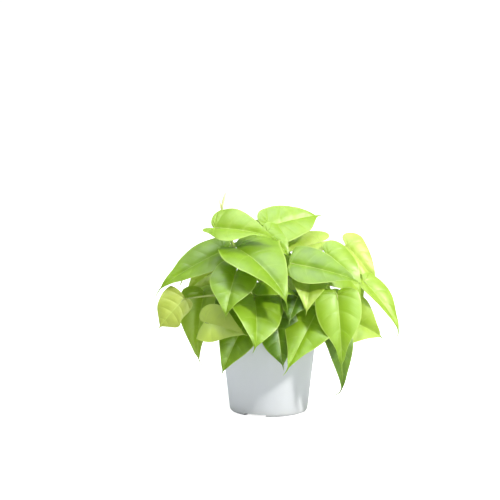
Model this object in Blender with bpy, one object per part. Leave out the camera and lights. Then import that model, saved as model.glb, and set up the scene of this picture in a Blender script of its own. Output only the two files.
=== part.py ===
"""A heartleaf philodendron with lime-green leaves in a white nursery pot.

Lengths in the tables are millimetres and are turned into metres where a mesh is made.
The frame: Z is up, the pot's axis is the Z axis, the pot stands on Z = 0, -Y is the front.
The plant is eight rooted vines. Each vine carries its leaf stalks, and each stalk
carries one blade. A vine and its stalks are one solid, a blade is a solid of its own.
"""
import math
import random
from collections import namedtuple

import bpy
import numpy as np

MM = 0.001
GAP = 0.3
SEAT_GAP = GAP + 0.1

# The pot
POT_HEIGHT = 106.0
POT_TOP_RADIUS = 60.0
POT_FOOT_RADIUS = 48.2
POT_WALL = 1.6
RIM_OUT = 1.4
RIM_HEIGHT = 6.0
RIM_CHAMFER = 1.0
LIP_CHAMFER = 0.6
BOTTOM_ROUNDING = 5.0
FOOT_HEIGHT = 3.3
FOOT_INNER_RADIUS = 38.0
FOOT_OUTER_RADIUS = 44.4
FOOT_DRAFT = 1.2
CENTRE_PAD_RADIUS = 18.0
CENTRE_PAD_DRAFT = 2.0
FLOOR_TOP = 5.2
FLOOR_COVE = 3.0
POT_SIDES = 48
FOOT_NOTCHES = 3
FOOT_NOTCH_ANGLE = 36.0
FOOT_NOTCH_HEIGHT = 3.0
FIRST_NOTCH_ANGLE = -112.6
DRAIN_HOLES = 6
DRAIN_HOLE_RADIUS = 4.0
DRAIN_CIRCLE_RADIUS = 29.0
FIRST_DRAIN_ANGLE = 33.0
DRAIN_SIDES = 12

# The soil
SOIL_LEVEL = 94.0
SOIL_DOME = 2.5
SOIL_ROUGHNESS = 0.9
SOIL_SEED = 7
SOIL_RINGS = 5
SOIL_SIDES = 32
HOLE_DEPTH = 26.0
HOLE_SIDES = 10

# Stems and stalks
VINE_RADIUS = 2.4
VINE_TOP_RADIUS = 1.7
VINE_SIDES = 7
VINE_RINGS = 9
VINE_COLLAR = 6.0
VINE_STRAIGHT = 0.45
VINE_LEAN = 0.3
VINE_END_TAPER = 0.55
STALK_RADIUS = 1.3
STALK_TOP_RADIUS = 0.95
STALK_SIDES = 5
STALK_RINGS = 8
STALK_RISE = 0.6
STALK_LEAVES = 0.35
STALK_ARRIVES = 0.3
SEAT_ALONG_RIB = 1.0

# Blades
BLADE_THICKNESS = 0.7
OUTLINE_STEPS = 11
ROW_AT = (0.5, 1.0)
SINUS_DEPTH = 0.185
LOBE_REACH = 0.25
HOOK_FROM = 0.72
HOOK_POWER = 1.5
MIDRIB_STEPS = 80
MARGIN_CURL = 30.0
SIDE_VEINS_FROM = 0.1
SIDE_VEIN_SWEEP = 1.25
TYPICAL_WIDTH = 0.42

# The rolled new leaf and its sheath, from the top of the longest vine
SHOOT_TIP = (4.5, -1, 22)
SHOOT_RADII = (1.0, 1.7, 1.8, 1.5, 1.1, 0.75, 0.4)
SHEATH_TIP = (-2.5, -1, 13)
SHEATH_RADII = (0.9, 1.3, 1.1, 0.8, 0.4)

# root: where the vine leaves the soil; top: its tip; both in mm from the pot's axis.
Vine = namedtuple("Vine", "name root top")
VINES = (
    Vine("vine_left", (-22, 6), (-57, -4, 244)),
    Vine("vine_left_front", (-24, -14), (-38, -30, 150)),
    Vine("vine_front", (-4, -26), (-14, -22, 190)),
    Vine("vine_front_right", (18, -22), (22, -22, 150)),
    Vine("vine_right", (30, -4), (52, -10, 165)),
    Vine("vine_right_back", (22, 18), (64, 22, 186)),
    Vine("vine_back", (2, 26), (6, 22, 206)),
    Vine("vine_back_left", (-16, 24), (-34, 40, 176)),
)

# One row a leaf. vine and node: the vine it grows on, and how far up it the stalk leaves;
# base: where the stalk meets the blade; tip: the drip tip; face: where the upper side looks;
# width: half the blade's width over its length; fold: the valley along the midrib, degrees;
# bend and hook: how far the midrib and its tip turn down, degrees; lobe: how long the two
# heart lobes are; sway: how far the stalk's middle bends aside to pass its neighbours.
Leaf = namedtuple(
    "Leaf",
    "name vine node base tip face width fold bend hook lobe sway",
    defaults=(1.0, (0, 0, 0)),
)
LEAVES = (
    Leaf("crown_left", 0, .82, (-65, -30, 226), (8, -48, 212), (1, -9, 10), .38, 26, 25, 20,
         lobe=.45, sway=(-8, 22, 0)),
    Leaf("crown_right", 6, .8, (0, 9, 226), (66, 36, 237), (0, -10, 10), .42, 20, 10, 10, lobe=.45),
    Leaf("crown_inner", 6, .7, (0, -14, 216), (24, -27, 189), (3, -9, 7), .38, 20, 30, 20,
         lobe=.5, sway=(-6, -2, -6)),
    Leaf("crown_shaded", 5, .7, (64, 20, 205), (17, 0, 192), (-1, -7, 10), .34, 16, 10, 10, sway=(0, 10, 0)),
    Leaf("front_wide", 2, .75, (-38, -38, 202), (20, -93, 138), (2, -7, 10), .34, 22, 45, 40, lobe=.3),
    Leaf("left_wide", 0, .55, (-54, -16, 198), (-134, -28, 147), (-3, -7, 8), .29, 18, 20, 20, lobe=.7),
    Leaf("left_hanging", 1, .8, (-40, -61, 173), (-51, -90, 126), (-2, -10, 4), .49, 18, 35, 20, lobe=1.7),
    Leaf("left_small", 1, .7, (-101, -36, 142), (-132, -42, 106), (-2, -10, 3), .5, 15, 25, 15,
         lobe=.4, sway=(0, -18, 4)),
    Leaf("left_folded", 1, .6, (-79, -14, 145), (-82, -34, 63), (-4, -10, 1), .28, 40, 30, 25, lobe=.4),
    Leaf("left_low", 1, .4, (-77, -56, 116), (-26, -80, 104), (0, -10, 4), .42, 18, 30, 15,
         lobe=.4, sway=(2, -6, -14)),
    Leaf("left_under", 0, .45, (-70, 6, 168), (-103, -6, 141), (-3, -9, 6), .32, 20, 35, 20),
    Leaf("left_shaded", 0, .35, (-62, 0, 142), (-80, -16, 100), (-3, -9, 5), .4, 20, 35, 20),
    Leaf("centre_hanging", 2, .55, (-18, -50, 145), (-19, -98, 88), (4, -10, 6), .43, 20, 38, 42, lobe=.5),
    Leaf("centre_under", 2, .6, (-6, -40, 162), (32, -62, 147), (0, -8, 10), .3, 15, 30, 15),
    Leaf("pot_left", 2, .25, (-26, -58, 121), (-56, -78, 57), (-2, -10, 3), .34, 20, 35, 20, sway=(-8, 0, 0)),
    Leaf("pot_centre", 3, .3, (8, -56, 122), (16, -77, 64), (-1, -10, 4), .4, 20, 20, 20, lobe=.3),
    Leaf("pot_right", 3, .5, (57, -46, 129), (18, -92, 63), (-1, -10, 3), .36, 22, 40, 20, lobe=.3),
    Leaf("centre_dark", 3, .75, (35, -50, 150), (22, -82, 119), (-4, -10, -4), .42, 12, 5, 20, lobe=.5),
    Leaf("right_under", 4, .8, (49, -40, 170), (42, -78, 128), (0, -10, 4), .38, 22, 40, 20, lobe=.6),
    Leaf("right_wide", 3, .95, (24, -45, 185), (107, -60, 162), (2, -9, 8), .33, 16, 22, 20, lobe=.1),
    Leaf("right_front", 4, .6, (79, -62, 150), (84, -76, 62), (.5, -10, 2), .3, 16, 42, 20, lobe=.2),
    Leaf("right_low", 4, .35, (74, -35, 120), (83, -42, 29), (5, -10, 1), .23, 34, 46, 20),
    Leaf("right_pointed", 4, .45, (87, -8, 117), (138, -25, 92), (2, -10, 4), .56, 24, 25, 20),
    Leaf("right_upper", 4, .95, (70, -10, 193), (112, -25, 139), (3, -9, 7), .36, 20, 35, 20),
    Leaf("right_far", 5, .55, (116, 0, 159), (156, -15, 94), (5, -7, 7), .26, 22, 30, 35, lobe=.5),
    Leaf("right_back", 5, .85, (97, 25, 200), (133, 15, 151), (2, -10, 6), .25, 15, 30, 20, lobe=.7),
    Leaf("back_crown", 6, .9, (-10, 40, 226), (-52, 74, 196), (-3, 3, 10), .42, 18, 25, 20),
    Leaf("back_crown_right", 6, .75, (24, 48, 212), (70, 92, 176), (3, 4, 10), .4, 20, 30, 20),
    Leaf("back_middle", 6, .5, (0, 66, 182), (6, 112, 116), (0, 10, 6), .38, 20, 40, 25),
    Leaf("back_left_upper", 7, .9, (-58, 44, 196), (-112, 78, 146), (-5, 5, 8), .38, 20, 30, 20),
    Leaf("back_left", 7, .6, (-42, 70, 154), (-58, 100, 82), (-3, 10, 4), .4, 20, 35, 20),
    Leaf("back_left_low", 7, .45, (-80, 30, 146), (-114, 50, 102), (-8, 6, 5), .42, 20, 30, 20),
    Leaf("back_right_upper", 5, .75, (78, 52, 178), (124, 74, 124), (5, 6, 8), .38, 20, 35, 20),
    Leaf("back_right", 5, .45, (46, 66, 146), (66, 96, 78), (3, 10, 4), .4, 20, 35, 20),
    Leaf("back_right_low", 5, .3, (82, 30, 138), (108, 46, 88), (8, 5, 3), .38, 22, 30, 20),
    Leaf("back_top", 6, .95, (14, 36, 236), (-14, 78, 222), (0, 4, 10), .4, 16, 25, 20),
    Leaf("back_centre", 5, .35, (24, 72, 156), (32, 104, 88), (1, 10, 4), .36, 20, 35, 20, sway=(-14, -4, 6)),
    Leaf("back_shaded", 7, .4, (-22, 60, 136), (-24, 84, 68), (-1, 10, 3), .36, 20, 30, 20),
    Leaf("back_low", 7, .3, (4, 60, 126), (0, 80, 58), (0, 10, 2), .38, 20, 30, 20),
    Leaf("top_left", 7, .85, (-46, 20, 190), (-88, 28, 174), (-1, -1, 10), .34, 18, 25, 20, lobe=.6),
    Leaf("top_centre", 6, .6, (-16, 26, 192), (-28, -6, 170), (-2, -1, 10), .4, 18, 25, 20),
    Leaf("top_right", 5, .7, (30, 40, 186), (66, 60, 168), (1, 1, 10), .36, 18, 25, 20),
)

LEAF_COLOUR = (0.42, 0.66, 0.08, 1.0)
VINE_COLOUR = (0.40, 0.48, 0.16, 1.0)
SHOOT_COLOUR = (0.80, 0.82, 0.35, 1.0)
POT_COLOUR = (0.86, 0.88, 0.90, 1.0)
SOIL_COLOUR = (0.06, 0.04, 0.03, 1.0)


def remove_everything():
    for item in list(bpy.data.objects):
        bpy.data.objects.remove(item, do_unlink=True)


def plain_material(name, colour, roughness):
    material = bpy.data.materials.new(name)
    material.use_nodes = True
    shader = material.node_tree.nodes["Principled BSDF"]
    shader.inputs["Base Color"].default_value = colour
    shader.inputs["Roughness"].default_value = roughness
    shader.inputs["Metallic"].default_value = 0.0
    return material


def add_object(name, points, faces, material, smooth=True):
    """A named object from points in millimetres."""
    mesh = bpy.data.meshes.new(name)
    mesh.from_pydata([tuple(float(v) * MM for v in p) for p in points], [], faces)
    mesh.materials.append(material)
    if smooth:
        mesh.shade_smooth()
    item = bpy.data.objects.new(name, mesh)
    bpy.context.scene.collection.objects.link(item)
    return item


def unit(vector):
    vector = np.asarray(vector, float)
    return vector / np.linalg.norm(vector)


def bezier(points, steps):
    """Points along a cubic curve, without its last one."""
    t = np.arange(steps)[:, None] / steps
    a, b, c, d = (np.asarray(p, float) for p in points)
    return (1 - t) ** 3 * a + 3 * (1 - t) ** 2 * t * b + 3 * (1 - t) * t * t * c + t ** 3 * d


def half_outline():
    """Half a heart: x along the midrib from the stalk to the tip, y out to a width of 1."""
    curves = (
        ((0, 0), (-0.05, 0.05), (-SINUS_DEPTH, 0.12), (-SINUS_DEPTH, 0.46)),
        ((-SINUS_DEPTH, 0.46), (-SINUS_DEPTH, 0.78), (-0.02, 1.0), (0.16, 1.0)),
        ((0.16, 1.0), (0.44, 1.0), (0.62, 0.48), (0.82, 0.20)),
        ((0.82, 0.20), (0.88, 0.115), (0.93, 0.05), (1.0, 0.0)),
    )
    fine = np.vstack([bezier(curve, MIDRIB_STEPS) for curve in curves] + [[[1.0, 0.0]]])
    steps = np.linalg.norm(np.diff(fine * [1, TYPICAL_WIDTH], axis=0), axis=1)
    along = np.concatenate([[0], np.cumsum(steps)])
    at = np.linspace(0, along[-1], OUTLINE_STEPS + 1)
    return np.stack([np.interp(at, along, fine[:, k]) for k in range(2)], 1)


def midrib(length, bend, hook):
    """The midrib seen from the side: it arches over and its tip hooks down."""
    s = np.linspace(-LOBE_REACH, 1, int(MIDRIB_STEPS * (1 + LOBE_REACH)) + 1)
    slope = -math.radians(bend) * s
    hooked = np.clip((s - HOOK_FROM) / (1 - HOOK_FROM), 0, 1) ** HOOK_POWER
    slope -= math.radians(hook) * hooked
    middle = (slope[1:] + slope[:-1]) / 2
    step = s[1] - s[0]
    x = np.concatenate([[0], np.cumsum(np.cos(middle) * step)])
    z = np.concatenate([[0], np.cumsum(np.sin(middle) * step)])
    start = int(round(LOBE_REACH / step))
    x, z = x - x[start], z - z[start]
    turn = -math.atan2(z[-1], x[-1])
    scale = length / math.hypot(x[-1], z[-1])
    along = scale * (math.cos(turn) * x - math.sin(turn) * z)
    up = scale * (math.sin(turn) * x + math.cos(turn) * z)
    return s, along, up, slope + turn, scale


def leaf_axes(leaf):
    """The blade's own axes: along the midrib, out of its upper side, and to one side."""
    along = unit(np.subtract(leaf.tip, leaf.base))
    face = np.asarray(leaf.face, float)
    up = unit(face - along * (face @ along))
    return along, up, np.cross(up, along)


def blade_grid(leaf):
    """The flat blade: its points, its triangles and the points along each margin."""
    outline = half_outline()
    outline[:, 0] = np.where(outline[:, 0] < 0, outline[:, 0] * leaf.lobe, outline[:, 0])
    vein_root = np.clip((outline[:, 0] - SIDE_VEINS_FROM) / (1 - SIDE_VEINS_FROM), 0, 1)
    vein_root = vein_root ** SIDE_VEIN_SWEEP
    last = len(outline) - 1
    flat = [(0.0, 0.0)]
    spine = [0] * (last + 1)
    for i in range(1, last + 1):
        if vein_root[i] > 1e-6:
            spine[i] = len(flat)
            flat.append((vein_root[i], 0.0))
    triangles, margins = [], []
    for side in (1, -1):
        columns = [[0] * (len(ROW_AT) + 1)]
        for i in range(1, last):
            column = [spine[i]]
            for row in ROW_AT:
                column.append(len(flat))
                x = vein_root[i] + (outline[i, 0] - vein_root[i]) * row
                flat.append((x, side * outline[i, 1] * row))
            columns.append(column)
        columns.append([spine[last]] * (len(ROW_AT) + 1))
        for near, far in zip(columns, columns[1:]):
            for j in range(len(ROW_AT)):
                first = (near[j], near[j + 1], far[j + 1])
                second = (near[j], far[j + 1], far[j])
                for corners in (first, second):
                    if len(set(corners)) == 3:
                        triangles.append(corners if side > 0 else corners[::-1])
        margins.append([column[-1] for column in columns])
    return np.array(flat), triangles, margins


def blade_surface(leaf, flat):
    """The blade's middle surface: arched along the midrib, a valley across it."""
    along, up, side = leaf_axes(leaf)
    length = np.linalg.norm(np.subtract(leaf.tip, leaf.base))
    s, rib_along, rib_up, rib_slope, scale = midrib(length, leaf.bend, leaf.hook)
    x, y = flat[:, 0], flat[:, 1]
    slope = np.interp(x, s, rib_slope)
    fold, curl = math.radians(leaf.fold), math.radians(MARGIN_CURL)
    reach = np.abs(y)
    half_width = leaf.width * scale
    out = half_width / curl * (math.sin(fold) - np.sin(fold - curl * reach)) * np.sign(y)
    rise = half_width / curl * (np.cos(fold - curl * reach) - math.cos(fold))
    normal = np.outer(np.cos(slope), up) - np.outer(np.sin(slope), along)
    rib = np.outer(np.interp(x, s, rib_along), along) + np.outer(np.interp(x, s, rib_up), up)
    return np.asarray(leaf.base, float) + rib + np.outer(out, side) + normal * rise[:, None]


def add_blade(leaf, material):
    """One blade as a thin closed solid, split into the same triangles on both faces."""
    flat, triangles, margins = blade_grid(leaf)
    middle = blade_surface(leaf, flat)
    faces = np.array(triangles)
    corner = middle[faces]
    face_normal = np.cross(corner[:, 1] - corner[:, 0], corner[:, 2] - corner[:, 0])
    normal = np.zeros_like(middle)
    for k in range(3):
        np.add.at(normal, faces[:, k], face_normal)
    normal /= np.linalg.norm(normal, axis=1)[:, None]
    half = BLADE_THICKNESS / 2
    points = np.vstack([middle + normal * half, middle - normal * half])
    count = len(middle)
    solid = [tuple(t) for t in triangles]
    solid += [(a + count, c + count, b + count) for a, b, c in triangles]
    for margin, outward in zip(margins, (True, False)):
        for a, b in zip(margin, margin[1:]):
            wall = [(a, a + count, b + count), (a, b + count, b)]
            solid += wall if outward else [corners[::-1] for corners in wall]
    return add_object("leaf_" + leaf.name, points, solid, material)


def vine_path(vine):
    """A vine rises straight out of the soil and then leans over to its top."""
    root = np.array([*vine.root, SOIL_LEVEL - HOLE_DEPTH + GAP])
    collar = np.array([*vine.root, SOIL_LEVEL + VINE_COLLAR])
    top = np.asarray(vine.top, float)
    rise = top[2] - collar[2]
    upright = collar + [0, 0, rise * VINE_STRAIGHT]
    control = (collar, upright, top - unit(top - collar) * rise * VINE_LEAN, top)
    curve = np.vstack([bezier(control, VINE_RINGS), [top]])
    return np.vstack([[root], curve])


def point_on(path, share):
    """The point a share of the way up a path's free part, above the soil."""
    free = path[1:]
    steps = np.linalg.norm(np.diff(free, axis=0), axis=1)
    along = np.concatenate([[0], np.cumsum(steps)])
    return np.array([np.interp(share * along[-1], along, free[:, k]) for k in range(3)])


def stalk_path(leaf, vine_points):
    """A leaf stalk leaves the vine upwards and meets its blade from below and behind."""
    start = point_on(vine_points, leaf.node)
    along, up, _ = leaf_axes(leaf)
    slope = midrib(1.0, leaf.bend, leaf.hook)[3][int(round(LOBE_REACH * MIDRIB_STEPS))]
    rib = along * math.cos(slope) + up * math.sin(slope)
    keel = up * math.cos(slope) - along * math.sin(slope)
    arrive = unit(keel * 0.85 + rib * 0.35)
    lean = math.sqrt(max(0.0, 1 - float(arrive @ keel) ** 2))
    end = np.asarray(leaf.base, float) + rib * SEAT_ALONG_RIB
    end = end - keel * (BLADE_THICKNESS / 2 + SEAT_GAP + STALK_TOP_RADIUS * lean)
    reach = np.linalg.norm(end - start)
    sway = np.asarray(leaf.sway, float)
    outward = unit(unit(end - start) + [0, 0, STALK_RISE])
    leaves = start + outward * reach * STALK_LEAVES + sway * 1.5
    arrives = end - arrive * reach * STALK_ARRIVES + sway * 0.5
    return np.vstack([bezier((start, leaves, arrives, end), STALK_RINGS), [end]])


def tube(path, radii, sides):
    """A closed tube along a path: its points and its faces, with flat ends."""
    tangent = np.gradient(path, axis=0)
    tangent /= np.linalg.norm(tangent, axis=1)[:, None]
    reference = np.array([1.0, 0.0, 0.0])
    if abs(tangent[0][0]) > 0.9:
        reference = np.array([0.0, 1.0, 0.0])
    points = []
    for centre, direction, radius in zip(path, tangent, radii):
        first = unit(reference - direction * (reference @ direction))
        second = np.cross(direction, first)
        reference = first
        for k in range(sides):
            angle = 2 * math.pi * k / sides
            points.append(centre + radius * (math.cos(angle) * first + math.sin(angle) * second))
    faces = [tuple(range(sides))[::-1]]
    rings = len(path)
    for i in range(rings - 1):
        for k in range(sides):
            a, b = i * sides + k, i * sides + (k + 1) % sides
            faces.append((a, b, b + sides, a + sides))
    faces.append(tuple((rings - 1) * sides + k for k in range(sides)))
    return points, faces


def add_vine(index, vine, material):
    """A vine with all its leaf stalks, joined into one solid."""
    path = vine_path(vine)
    radii = np.linspace(VINE_RADIUS, VINE_TOP_RADIUS, len(path))
    radii[-1] = VINE_TOP_RADIUS * VINE_END_TAPER
    stem = add_object(vine.name, *tube(path, radii, VINE_SIDES), material)
    stalks = bpy.data.collections.new(vine.name + "_stalks")
    bpy.context.scene.collection.children.link(stalks)
    for leaf in LEAVES:
        if leaf.vine == index:
            line = stalk_path(leaf, path)
            stalk_radii = np.linspace(STALK_RADIUS, STALK_TOP_RADIUS, len(line))
            stalk = add_object("stalk", *tube(line, stalk_radii, STALK_SIDES), material)
            bpy.context.scene.collection.objects.unlink(stalk)
            stalks.objects.link(stalk)
    join = stem.modifiers.new("stalks", "BOOLEAN")
    join.operation = "UNION"
    join.operand_type = "COLLECTION"
    join.collection = stalks
    join.solver = "EXACT"
    apply_modifiers(stem)
    for stalk in list(stalks.objects):
        bpy.data.objects.remove(stalk, do_unlink=True)
    bpy.data.collections.remove(stalks)
    return path


def apply_modifiers(item):
    """Replaces an object's mesh by the one its modifiers give."""
    evaluated = item.evaluated_get(bpy.context.evaluated_depsgraph_get())
    mesh = bpy.data.meshes.new_from_object(evaluated)
    item.modifiers.clear()
    item.data = mesh


def turned(profile, sides):
    """A profile of (radius, height) from the axis round to the axis, turned round Z."""
    points, faces = [], []
    rings = []
    for radius, height in profile:
        if radius < 1e-6:
            rings.append([len(points)] * sides)
            points.append((0.0, 0.0, height))
            continue
        rings.append([len(points) + k for k in range(sides)])
        for k in range(sides):
            angle = 2 * math.pi * k / sides
            points.append((radius * math.cos(angle), radius * math.sin(angle), height))
    for lower, upper in zip(rings, rings[1:]):
        for k in range(sides):
            n = (k + 1) % sides
            corners = [lower[k], lower[n], upper[n], upper[k]]
            face = [v for i, v in enumerate(corners) if v != corners[i - 1]]
            if len(set(face)) > 2:
                faces.append(tuple(face))
    return points, faces


def outer_radius(height):
    """The pot's outer radius at a height above its rounded bottom edge."""
    slope = (POT_TOP_RADIUS - POT_FOOT_RADIUS) / (POT_HEIGHT - BOTTOM_ROUNDING)
    return POT_FOOT_RADIUS + slope * (height - BOTTOM_ROUNDING)


def cut(item, cutter):
    """Takes the cutter's shape out of an object, and leaves the cutter as a guide."""
    cutter.hide_render = True
    cutter.display_type = "WIRE"
    modifier = item.modifiers.new("cut", "BOOLEAN")
    modifier.operation = "DIFFERENCE"
    modifier.object = cutter
    modifier.solver = "EXACT"


def add_pot(material):
    """The tapered pot: foot ring with notches, centre pad, drain holes and a plain rim."""
    profile = [
        (0, 0),
        (CENTRE_PAD_RADIUS, 0),
        (CENTRE_PAD_RADIUS + CENTRE_PAD_DRAFT, FOOT_HEIGHT),
        (FOOT_INNER_RADIUS, FOOT_HEIGHT),
        (FOOT_INNER_RADIUS + FOOT_DRAFT, 0),
        (FOOT_OUTER_RADIUS, 0),
    ]
    for k in range(1, 4):
        turn = math.radians(90 * k / 3)
        width = POT_FOOT_RADIUS - FOOT_OUTER_RADIUS
        radius = FOOT_OUTER_RADIUS + width * math.sin(turn)
        profile.append((radius, BOTTOM_ROUNDING * (1 - math.cos(turn))))
    rim_bottom = POT_HEIGHT - RIM_HEIGHT
    profile += [
        (outer_radius(rim_bottom), rim_bottom),
        (outer_radius(rim_bottom) + RIM_OUT, rim_bottom + RIM_CHAMFER),
        (POT_TOP_RADIUS + RIM_OUT, POT_HEIGHT - RIM_CHAMFER),
        (POT_TOP_RADIUS + RIM_OUT - RIM_CHAMFER, POT_HEIGHT),
        (POT_TOP_RADIUS - POT_WALL + LIP_CHAMFER, POT_HEIGHT),
        (POT_TOP_RADIUS - POT_WALL, POT_HEIGHT - LIP_CHAMFER),
        (outer_radius(FLOOR_TOP + FLOOR_COVE) - POT_WALL, FLOOR_TOP + FLOOR_COVE),
        (outer_radius(FLOOR_TOP) - POT_WALL - FLOOR_COVE, FLOOR_TOP),
        (0, FLOOR_TOP),
    ]
    pot = add_object("pot", *turned(profile, POT_SIDES), material)
    pot.data.set_sharp_from_angle(angle=math.radians(40))
    for number in range(FOOT_NOTCHES):
        middle = FIRST_NOTCH_ANGLE + 360 * number / FOOT_NOTCHES
        cut(pot, add_notch_cutter("notch_%d" % number, middle, material))
    for number in range(DRAIN_HOLES):
        angle = math.radians(FIRST_DRAIN_ANGLE + 360 * number / DRAIN_HOLES)
        centre = (DRAIN_CIRCLE_RADIUS * math.cos(angle), DRAIN_CIRCLE_RADIUS * math.sin(angle))
        low, high, radius = FOOT_HEIGHT - 2, FLOOR_TOP + 3, DRAIN_HOLE_RADIUS
        hole = turned([(0, low), (radius, low), (radius, high), (0, high)], DRAIN_SIDES)
        points = [(x + centre[0], y + centre[1], z) for x, y, z in hole[0]]
        cut(pot, add_object("drain_%d" % number, points, hole[1], material, smooth=False))


def add_notch_cutter(name, middle, material):
    """A curved block that takes a stretch out of the foot ring, not quite up to the floor."""
    steps = 8
    points, faces = [], []
    for k in range(steps + 1):
        angle = math.radians(middle - FOOT_NOTCH_ANGLE / 2 + FOOT_NOTCH_ANGLE * k / steps)
        for radius in (FOOT_INNER_RADIUS - 1, POT_FOOT_RADIUS + 6):
            for height in (-2.0, FOOT_NOTCH_HEIGHT):
                points.append((radius * math.cos(angle), radius * math.sin(angle), height))
    loop = (0, 2, 3, 1)
    faces.append(tuple(loop))
    for k in range(steps):
        for a, b in zip(loop, loop[1:] + loop[:1]):
            faces.append((4 * k + b, 4 * k + a, 4 * k + 4 + a, 4 * k + 4 + b))
    faces.append(tuple(4 * steps + v for v in loop[::-1]))
    return add_object(name, points, faces, material, smooth=False)


def add_soil(material):
    """The soil fills the pot to just under its rim, with a plain hole for each vine."""
    rng = random.Random(SOIL_SEED)
    wall = POT_WALL + SEAT_GAP
    edge = outer_radius(SOIL_LEVEL) - wall
    profile = [
        (0, FLOOR_TOP + GAP),
        (outer_radius(FLOOR_TOP) - wall - FLOOR_COVE, FLOOR_TOP + GAP),
        (outer_radius(FLOOR_TOP + FLOOR_COVE) - wall, FLOOR_TOP + FLOOR_COVE + GAP),
        (edge, SOIL_LEVEL),
    ]
    for ring in range(1, SOIL_RINGS):
        share = ring / SOIL_RINGS
        profile.append((edge * (1 - share), SOIL_LEVEL + SOIL_DOME * math.sin(share * math.pi / 2)))
    profile.append((0, SOIL_LEVEL + SOIL_DOME))
    points, faces = turned(profile, SOIL_SIDES)
    first_loose = 1 + 3 * SOIL_SIDES
    points = [
        (x, y, z + (rng.uniform(-1, 1) * SOIL_ROUGHNESS if i >= first_loose else 0))
        for i, (x, y, z) in enumerate(points)
    ]
    soil = add_object("soil", points, faces, material)
    for vine in VINES:
        low, high, radius = SOIL_LEVEL - HOLE_DEPTH, SOIL_LEVEL + 20, VINE_RADIUS + SEAT_GAP
        hole = turned([(0, low), (radius, low), (radius, high), (0, high)], HOLE_SIDES)
        moved = [(x + vine.root[0], y + vine.root[1], z) for x, y, z in hole[0]]
        cut(soil, add_object("hole_" + vine.name, moved, hole[1], material, smooth=False))


def add_new_shoot(top, material):
    """The pale rolled leaf and its short sheath, at the end of the longest vine."""
    start = np.asarray(top, float) + [0, 0, SEAT_GAP]
    tip = start + SHOOT_TIP
    bow = bezier((start, start + [0, 0, 8], tip - [2, 0, 6], tip), len(SHOOT_RADII) - 1)
    shoot = add_object("new_shoot", *tube(np.vstack([bow, [tip]]), SHOOT_RADII, 6), material)
    foot, tip = start + [0, 0, 2], start + SHEATH_TIP
    bow = bezier((foot, start + [-1, 0, 5], tip - [0, 0, 4], tip), len(SHEATH_RADII) - 1)
    sheath = add_object("sheath", *tube(np.vstack([bow, [tip]]), SHEATH_RADII, 5), material)
    join = shoot.modifiers.new("sheath", "BOOLEAN")
    join.operation = "UNION"
    join.object = sheath
    join.solver = "EXACT"
    apply_modifiers(shoot)
    bpy.data.objects.remove(sheath, do_unlink=True)


def main():
    remove_everything()
    add_pot(plain_material("white_plastic", POT_COLOUR, 0.5))
    add_soil(plain_material("potting_soil", SOIL_COLOUR, 0.95))
    green = plain_material("lime_leaf", LEAF_COLOUR, 0.4)
    stem = plain_material("vine_green", VINE_COLOUR, 0.5)
    for index, vine in enumerate(VINES):
        add_vine(index, vine, stem)
    for leaf in LEAVES:
        add_blade(leaf, green)
    add_new_shoot(VINES[0].top, plain_material("pale_shoot", SHOOT_COLOUR, 0.5))


main()
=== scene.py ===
# %% [markdown]
# # A potted heartleaf philodendron
# The plant is a young lime-green heartleaf in a plain white nursery pot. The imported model
# already holds every piece at its real place and size: the pot, the soil, eight vines with
# their leaf stalks, 42 blades and one new shoot. This lesson dresses it. Each coarse solid is
# replaced by a finer piece in the same place, and each surface gets its own material.

# %% Load the frame
import math
import random
from collections import namedtuple

import bmesh
import bpy
import numpy as np
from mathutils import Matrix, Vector


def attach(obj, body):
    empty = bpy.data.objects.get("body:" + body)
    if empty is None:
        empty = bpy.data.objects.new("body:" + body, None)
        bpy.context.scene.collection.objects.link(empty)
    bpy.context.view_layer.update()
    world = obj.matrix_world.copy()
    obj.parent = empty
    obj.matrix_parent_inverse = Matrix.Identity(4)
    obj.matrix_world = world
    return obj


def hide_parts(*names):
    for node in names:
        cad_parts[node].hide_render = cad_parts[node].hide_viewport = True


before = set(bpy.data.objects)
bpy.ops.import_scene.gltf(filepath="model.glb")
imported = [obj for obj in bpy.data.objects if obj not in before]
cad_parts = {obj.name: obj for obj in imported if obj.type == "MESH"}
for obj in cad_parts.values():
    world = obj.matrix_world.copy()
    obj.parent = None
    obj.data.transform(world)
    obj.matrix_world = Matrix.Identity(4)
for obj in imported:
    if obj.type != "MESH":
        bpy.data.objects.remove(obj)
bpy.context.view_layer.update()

MM = 0.001
print("nodes in the frame:", len(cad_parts))

# %% [markdown]
# ## The camera
# The plant is seen from the front, a little above the pot's rim, through a long lens. An
# 85 mm lens from 1.4 m away keeps the pot's sides nearly parallel, as in the photograph.
# A shorter lens from nearer by would fit the frame too, but it would swell the front leaves.

# %% The camera
CAMERA_PLACE = (-0.02294, -1.43448, 0.31724)
CAMERA_DOWN = math.radians(4.8)
lens = bpy.data.cameras.new("camera")
lens.lens = 85
lens.sensor_width = 36
camera = bpy.data.objects.new("camera", lens)
camera.location = CAMERA_PLACE
camera.rotation_euler = (math.pi / 2 - CAMERA_DOWN, 0, 0)
bpy.context.scene.collection.objects.link(camera)
bpy.context.scene.camera = camera
print("camera at", [round(v, 3) for v in camera.location])

# %% [markdown]
# ## Formulas as node trees
# A leaf's shape is a formula, and so is the pattern of its veins. Written node by node, such a
# formula fills pages. A `Wire` stands for one output of a node, and plain arithmetic on wires
# adds the Math node that does it, so a tree reads like the formula that it holds.


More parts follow.
